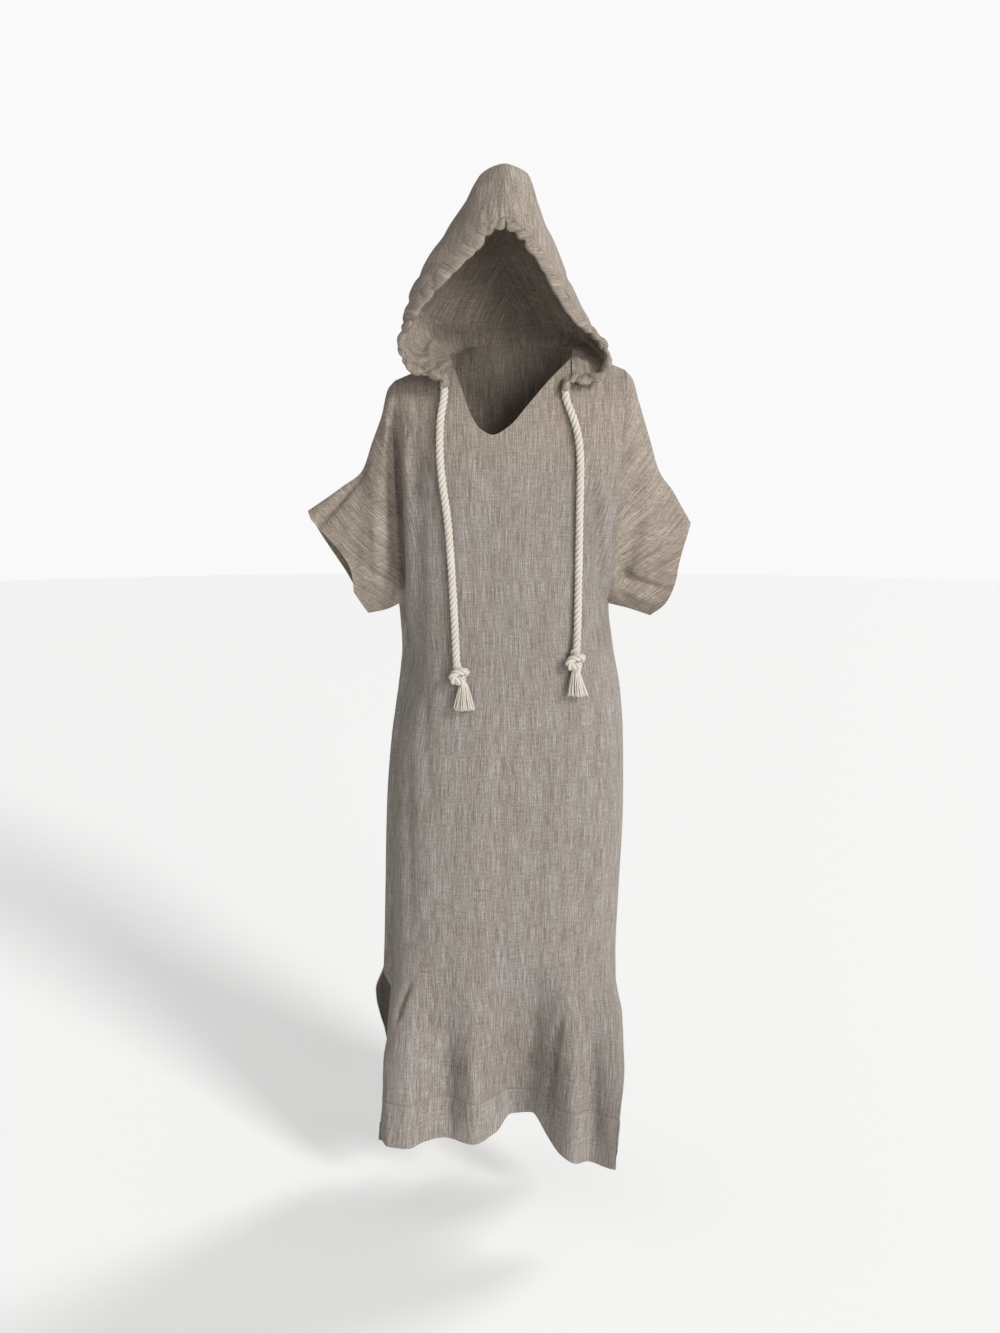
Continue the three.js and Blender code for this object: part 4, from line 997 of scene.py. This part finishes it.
gathering = makeTable("share left right spacing edgePull", [  # along the rim, from the top of the opening
    (0.0, 1.6, 1.6, 1.0, 1.7), (0.1, 1.3, 1.3, 1.2, 1.6), (0.2, 0.85, 0.6, 1.5, 1.3),
    (0.5, 0.8, 0.7, 1.6, 1.1), (0.6, 1.6, 2.3, 1.3, 1.5), (0.75, 1.9, 2.7, 1.3, 1.4),
    (0.92, 1.3, 1.4, 1.3, 0.7), (1.0, 0.6, 0.6, 0.9, 0.6),
])
freeEdge = {  # how much farther the casing's free edge reaches over the face opening
    "left": makeTable("share wider", [
        (0.0, 0.0), (0.08, 0.004), (0.2, 0.011), (0.5, 0.011), (0.66, 0.003), (0.8, 0.0),
    ]),
    "right": makeTable("share wider", [
        (0.0, 0.0), (0.1, 0.002), (0.4, 0.002), (0.6, 0.004), (0.85, 0.004), (1.0, 0.0),
    ]),
}
hoodGrid = {
    "rows": 240, "columns": 110, "crowding": 1.6, "crowded": 0.45,
    "leaves": 68.0,  # angle round the casing at which the hood's cloth leaves it
    "seamStops": [5, 7, 9, 12],  # columns of the back's neck edge that the hood's lower edge passes
    "seamPull": 0.72, "stitchColumn": 2, "unevenness": 0.0018,
}
peak = {"from": 0.312, "height": 0.026}  # above this height the hood sinks into a blunt dome
layout = {"apex": (0, -0.03, 0.37), "opening": 0.42, "upright": 0.15, "rear": 0.105, "place": (0.5, 4.0)}
hoodFolds = {  # in shares of the rim's length and of the way back to the centre seam
    "left": foldTable([
        (0.16, 0.1, 0.34, 0.62, 0.02, 0.04, 0.0022),
        (0.34, 0.05, 0.48, 0.42, 0.02, 0.026, 0.0026),
        (0.55, 0.04, 0.64, 0.45, -0.02, 0.022, 0.0036),
        (0.74, 0.04, 0.72, 0.5, 0.02, 0.02, 0.0052),
        (0.45, 0.3, 0.86, 0.95, 0.03, 0.06, -0.003),
        (0.9, 0.06, 0.8, 0.6, 0.02, 0.02, 0.0046),
    ]),
    "right": foldTable([
        (0.1, 0.12, 0.3, 0.7, 0.02, 0.04, 0.002),
        (0.4, 0.05, 0.48, 0.42, -0.02, 0.026, 0.0024),
        (0.62, 0.04, 0.66, 0.5, 0.02, 0.022, 0.0044),
        (0.8, 0.04, 0.76, 0.5, 0.02, 0.02, 0.0056),
        (0.5, 0.3, 0.88, 0.95, 0.03, 0.06, -0.003),
    ]),
}


def hoodPull(side, name, at):
    reach = lookUp(hoodReach[side], "reach", at)
    x, y, z = [lookUp(hoodRows, name + axis, at) for axis in "XYZ"]
    return Vector((sideSign[side] * reach * x, y, z))


def rimFrames(side):  # evenly spaced centres of the casing, the way to the hood's cloth and the way out
    path, length = smoothPath(rims[side], casing["rows"])
    frames = []
    for i, centre in enumerate(path):
        travel = travelAt(path, i) if i > 0 else Vector((sideSign[side], 0, 0))
        pull = hoodPull(side, "side", min(1.0, i / casing["rows"] / rimEnd)) - centre
        toCloth = (pull - travel * pull.dot(travel)).normalized()
        frames.append((centre, toCloth, travel.cross(toCloth) * sideSign[side]))
    return frames, length


def makeGathers(side, length):
    chance = random.Random(casing["seed"] + (side == "right"))
    gathers = [casing["slit"]]
    at = casing["firstGather"]
    while at < length:
        share = at / length
        spacing = chance.uniform(*casing["spacing"]) * lookUp(gathering, "spacing", share)
        gathers.append({
            "at": at,
            "depth": chance.uniform(*casing["depth"]) * lookUp(gathering, side, share),
            "width": chance.uniform(*casing["width"]) * spacing,
            "slant": chance.uniform(*casing["slant"]),
            "reach": chance.uniform(*casing["reach"]),
        })
        at += spacing
    return gathers


def gatherDepth(gathers, at, slantShare, arc):  # sharp valleys between round lobes, dying out along the cloth
    total = 0.0
    for gather in gathers:
        away = abs(at - gather["at"] - gather["slant"] * slantShare)
        width = gather["width"] * (1 + casing["widening"] * arc)
        if away < 4 * width and arc < 4 * gather["reach"]:
            valley = gather["depth"] * math.exp(-((away / width) ** 1.35))
            total += valley * math.exp(-((arc / gather["reach"]) ** 1.5))
    return casing["deepest"] * math.tanh(total / casing["deepest"])


def makeCasing(side):
    frames, length = rimFrames(side)
    gathers = makeGathers(side, length)
    bm = bmesh.new()
    columns, rows = casing["columns"], casing["rows"]

    def place(c, r):
        centre, toCloth, outwards = frames[r]
        angle = 2 * math.pi * c / columns
        away = (1 - math.cos(angle)) / 2  # 0 on the side of the hood's cloth, 1 at the free edge
        at, share = length * r / rows, r / rows
        valley = gatherDepth(gathers, at, 1.5 * away - 0.5, 0.0)
        swelling = Vector((at / casing["swellLength"], 3.0 * (side == "left"), math.sin(angle)))
        swell = casing["swell"] * noise.noise(swelling)
        wide = casing["halfWidth"] + swell + lookUp(freeEdge[side], "wider", share) * away
        wide = max(wide - lookUp(gathering, "edgePull", share) * valley * away, casing["leastWidth"])
        deep = max(casing["halfDepth"] + swell - casing["facePull"] * valley, casing["leastDepth"])
        return centre + toCloth * (wide * math.cos(angle)) + outwards * (deep * math.sin(angle))

    def flat(c, r):  # the grain runs slanting over the casing
        across, along = casing["flatAround"] * c / columns, length * casing["fullness"] * r / rows
        return (0.71 * (along + across), 0.71 * (along - across))

    addTube(bm, columns, rows, place, flat)
    closeEnds(bm, above=0.1)  # the lower end is the mouth that the rope leaves by
    made = makePiece("ruched_casing_" + side, bm, linenCloth)
    addWall(made, casing["wall"])
    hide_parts("casing_" + side)
    return made, gathers, frames, length


def neckSeamPoint(side, e):  # e is 1 at the corner of the V, 4 at the shoulder seam and 7 at the back
    panel, column = "front", 9 - e
    if e > 4:
        stops, i = hoodGrid["seamStops"], int(min(e - 4, 2.999))
        panel, column = "back", mix(stops[i], stops[i + 1], min(e - 4, 3) - i)
    return topPoint(panel, column if side == "left" else lastColumn - column)


def makeHood(side, gathers, frames, length):
    bm = bmesh.new()
    rows, columns, sign = hoodGrid["rows"], hoodGrid["columns"], sideSign[side]
    crowding, crowded = hoodGrid["crowding"], hoodGrid["crowded"]
    shares = [rimEnd * mix(r / rows, 1 - (1 - r / rows) ** crowding, crowded) for r in range(rows + 1)]
    leaves = math.radians(hoodGrid["leaves"])
    grid, arcs = {}, {}
    for r, share in enumerate(shares):
        at = share / rimEnd
        place = share * casing["rows"]
        i = min(int(place), casing["rows"] - 1)
        centre, toCloth, outwards = [a.lerp(b, place - i) for a, b in zip(frames[i], frames[i + 1])]
        p0 = centre + toCloth * (math.cos(leaves) * casing["halfWidth"])
        p0 = p0 + outwards * (math.sin(leaves) * casing["halfDepth"] + turned["single"] / 2)
        p1, p2 = hoodPull(side, "side", at), hoodPull(side, "rear", at)
        p3 = Vector((0, lookUp(hoodRows, "seamY", at), lookUp(hoodRows, "seamZ", at)))
        for c in range(columns + 1):
            t = c / columns
            k = 1 - t
            p = p0 * k ** 3 + p1 * (3 * k * k * t) + p2 * (3 * k * t * t) + p3 * t ** 3
            excess = max(0.0, p.z - peak["from"])
            p.z -= excess - peak["height"] * (1 - math.exp(-excess / peak["height"]))
            grid[(c, r)] = p
    edge = [grid[(0, rows)]]
    for c in range(1, columns + 1):
        e = 7 * c / columns
        p = edge[0].lerp(neckSeamPoint(side, 1), e) if e < 1 else neckSeamPoint(side, e)
        if e < 1:  # from the casing's mouth the edge comes down on the front and follows it to the V
            onFront = clothY("front", p.x, p.z) - turned["double"]
            p.y = mix(p.y, onFront, smooth(0, 0.3, e) * smooth(1, 0.8, e))
        edge.append(p)
    shift = [edge[c] - grid[(c, rows)] for c in range(columns + 1)]
    for (c, r) in grid:
        grid[(c, r)] = grid[(c, r)] + shift[c] * smooth(hoodGrid["seamPull"], 1, shares[r] / rimEnd)
    for r in range(rows + 1):
        grid[(columns, r)].x = 0.0
        arcs[(0, r)] = 0.0
        for c in range(1, columns + 1):
            arcs[(c, r)] = arcs[(c - 1, r)] + (grid[(c, r)] - grid[(c - 1, r)]).length
    for c in range(columns + 1):
        grid[(c, 0)].x = 0.0

    def flat(c, r):  # the front is laid out like a cone opened from its peak, the rear like a tube
        away = grid[(c, r)] - Vector(layout["apex"])
        angle = math.atan2(abs(away.x), -away.y)
        rear = max(0.0, angle - math.pi / 2)
        turn = (angle - rear - layout["upright"]) * layout["opening"]
        across = layout["place"][0] + away.length * math.sin(turn) + layout["rear"] * rear
        return (sign * across, layout["place"][1] - away.length * math.cos(turn))

    made = addGrid(bm, columns, rows, lambda c, r: grid[(c, r)], flat, turned=side == "left")
    bm.normal_update()
    moves = {}
    for (c, r), v in made.items():
        share, back = shares[r] / rimEnd, c / columns
        gathered = casing["facePull"] * gatherDepth(gathers, length * shares[r], 0.0, arcs[(c, r)])
        depth = gathered + foldDepth(hoodFolds[side], share, back)
        depth += hoodGrid["unevenness"] * noise.noise(Vector((v.co.y / 0.035, v.co.x / 0.05, v.co.z / 0.05)))
        strength = smooth(0, 0.08, 1 - back) * (1 if c * 7 < columns else smooth(0, 0.12, 1 - share))
        moves[v] = v.normal * (-depth * strength)
    for v, move in moves.items():
        v.co += move
    line = pick(made, [(hoodGrid["stitchColumn"], r) for r in range(rows + 1)])
    bmesh.ops.remove_doubles(bm, verts=list(bm.verts), dist=joinWithin["cloth"])
    hood = makePiece("hood_cloth_" + side, bm, linenCloth)
    addWall(hood, turned["single"])
    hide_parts("hood_" + side)
    print("hood", side, len(hood.data.polygons), "faces")
    return hood, line


hoods, casings = {}, {}
for side in ("left", "right"):
    casings[side], gathers, frames, rimLength = makeCasing(side)
    hoods[side], line = makeHood(side, gathers, frames, rimLength)
    sewing.append(line)

stitch = {
    "pitch": 0.0038, "length": 0.0026, "radius": 0.00034, "proud": 0.0002,
    "surface": {"Base Color": (0.37, 0.32, 0.27, 1), "Roughness": 0.93},
}


def makeStitches(lines):
    bm = bmesh.new()
    size = Matrix.Diagonal((stitch["radius"], stitch["radius"], stitch["length"] / 2, 1))
    for line in lines:
        points = [p + n * stitch["proud"] for p, n in line]
        count = max(2, round(smoothPath(points, 4)[1] / stitch["pitch"]))
        path = smoothPath(points, count * 2)[0]
        for k in range(1, len(path), 2):
            turn = Vector((0, 0, 1)).rotation_difference(travelAt(path, k)).to_matrix().to_4x4()
            place = Matrix.Translation(path[k]) @ turn @ size
            bmesh.ops.create_icosphere(bm, subdivisions=1, radius=1, matrix=place)
    return makePiece("stitches", bm, newMaterial("linenThread", stitch["surface"])[0])


stitches = makeStitches(sewing)
print("stitches:", len(stitches.data.polygons), "faces")

studio = {
    "floorZ": -1.46, "floorRadius": 14.0,
    "floor": {
        "Base Color": (0.93, 0.93, 0.92, 1), "Roughness": 0.8,
        "Emission Color": (1.0, 1.0, 1.0, 1), "Emission Strength": 0.17,
    },
    "suns": {
        "key": {"from": (1.65, -1.9, 1.2), "angle": 14.0, "strength": 2.0},
        "front": {"from": (0.95, -2.2, 0.1), "angle": 24.0, "strength": 1.15},
        "back": {"from": (1.9, 1.7, 1.4), "angle": 18.0, "strength": 1.3},
    },
    "skyColor": (1.0, 1.0, 1.0, 1), "skyLight": 0.3, "skySeen": 0.95,
}


def makeStudio():
    bm = bmesh.new()
    bmesh.ops.create_circle(bm, cap_ends=True, segments=96, radius=studio["floorRadius"])
    bmesh.ops.translate(bm, verts=list(bm.verts), vec=(0, 0, studio["floorZ"]))
    floor = addObject("floor", makeMesh("floor", bm, newMaterial("paleFloor", studio["floor"])[0]))
    for name, sun in studio["suns"].items():
        light = bpy.data.lights.new(name, "SUN")
        light.angle, light.energy = math.radians(sun["angle"]), sun["strength"]
        lamp = addObject(name, light)
        lamp.location = sun["from"]
        lamp.rotation_euler = (-Vector(sun["from"])).to_track_quat("-Z", "Y").to_euler()
    world = bpy.data.worlds.new("studio")
    world.use_nodes = True
    tree = world.node_tree
    seen = addNode(tree, "ShaderNodeLightPath", {})["Is Camera Ray"]
    strength = combine(tree, "MULTIPLY", seen, studio["skySeen"] - studio["skyLight"])
    strength = combine(tree, "ADD", strength, studio["skyLight"])
    setInputs(tree, tree.nodes["Background"], {"Color": studio["skyColor"], "Strength": strength})
    bpy.context.scene.world = world
    bpy.context.scene.view_settings.view_transform = "Standard"


makeStudio()
print("studio: floor, lights and sky")
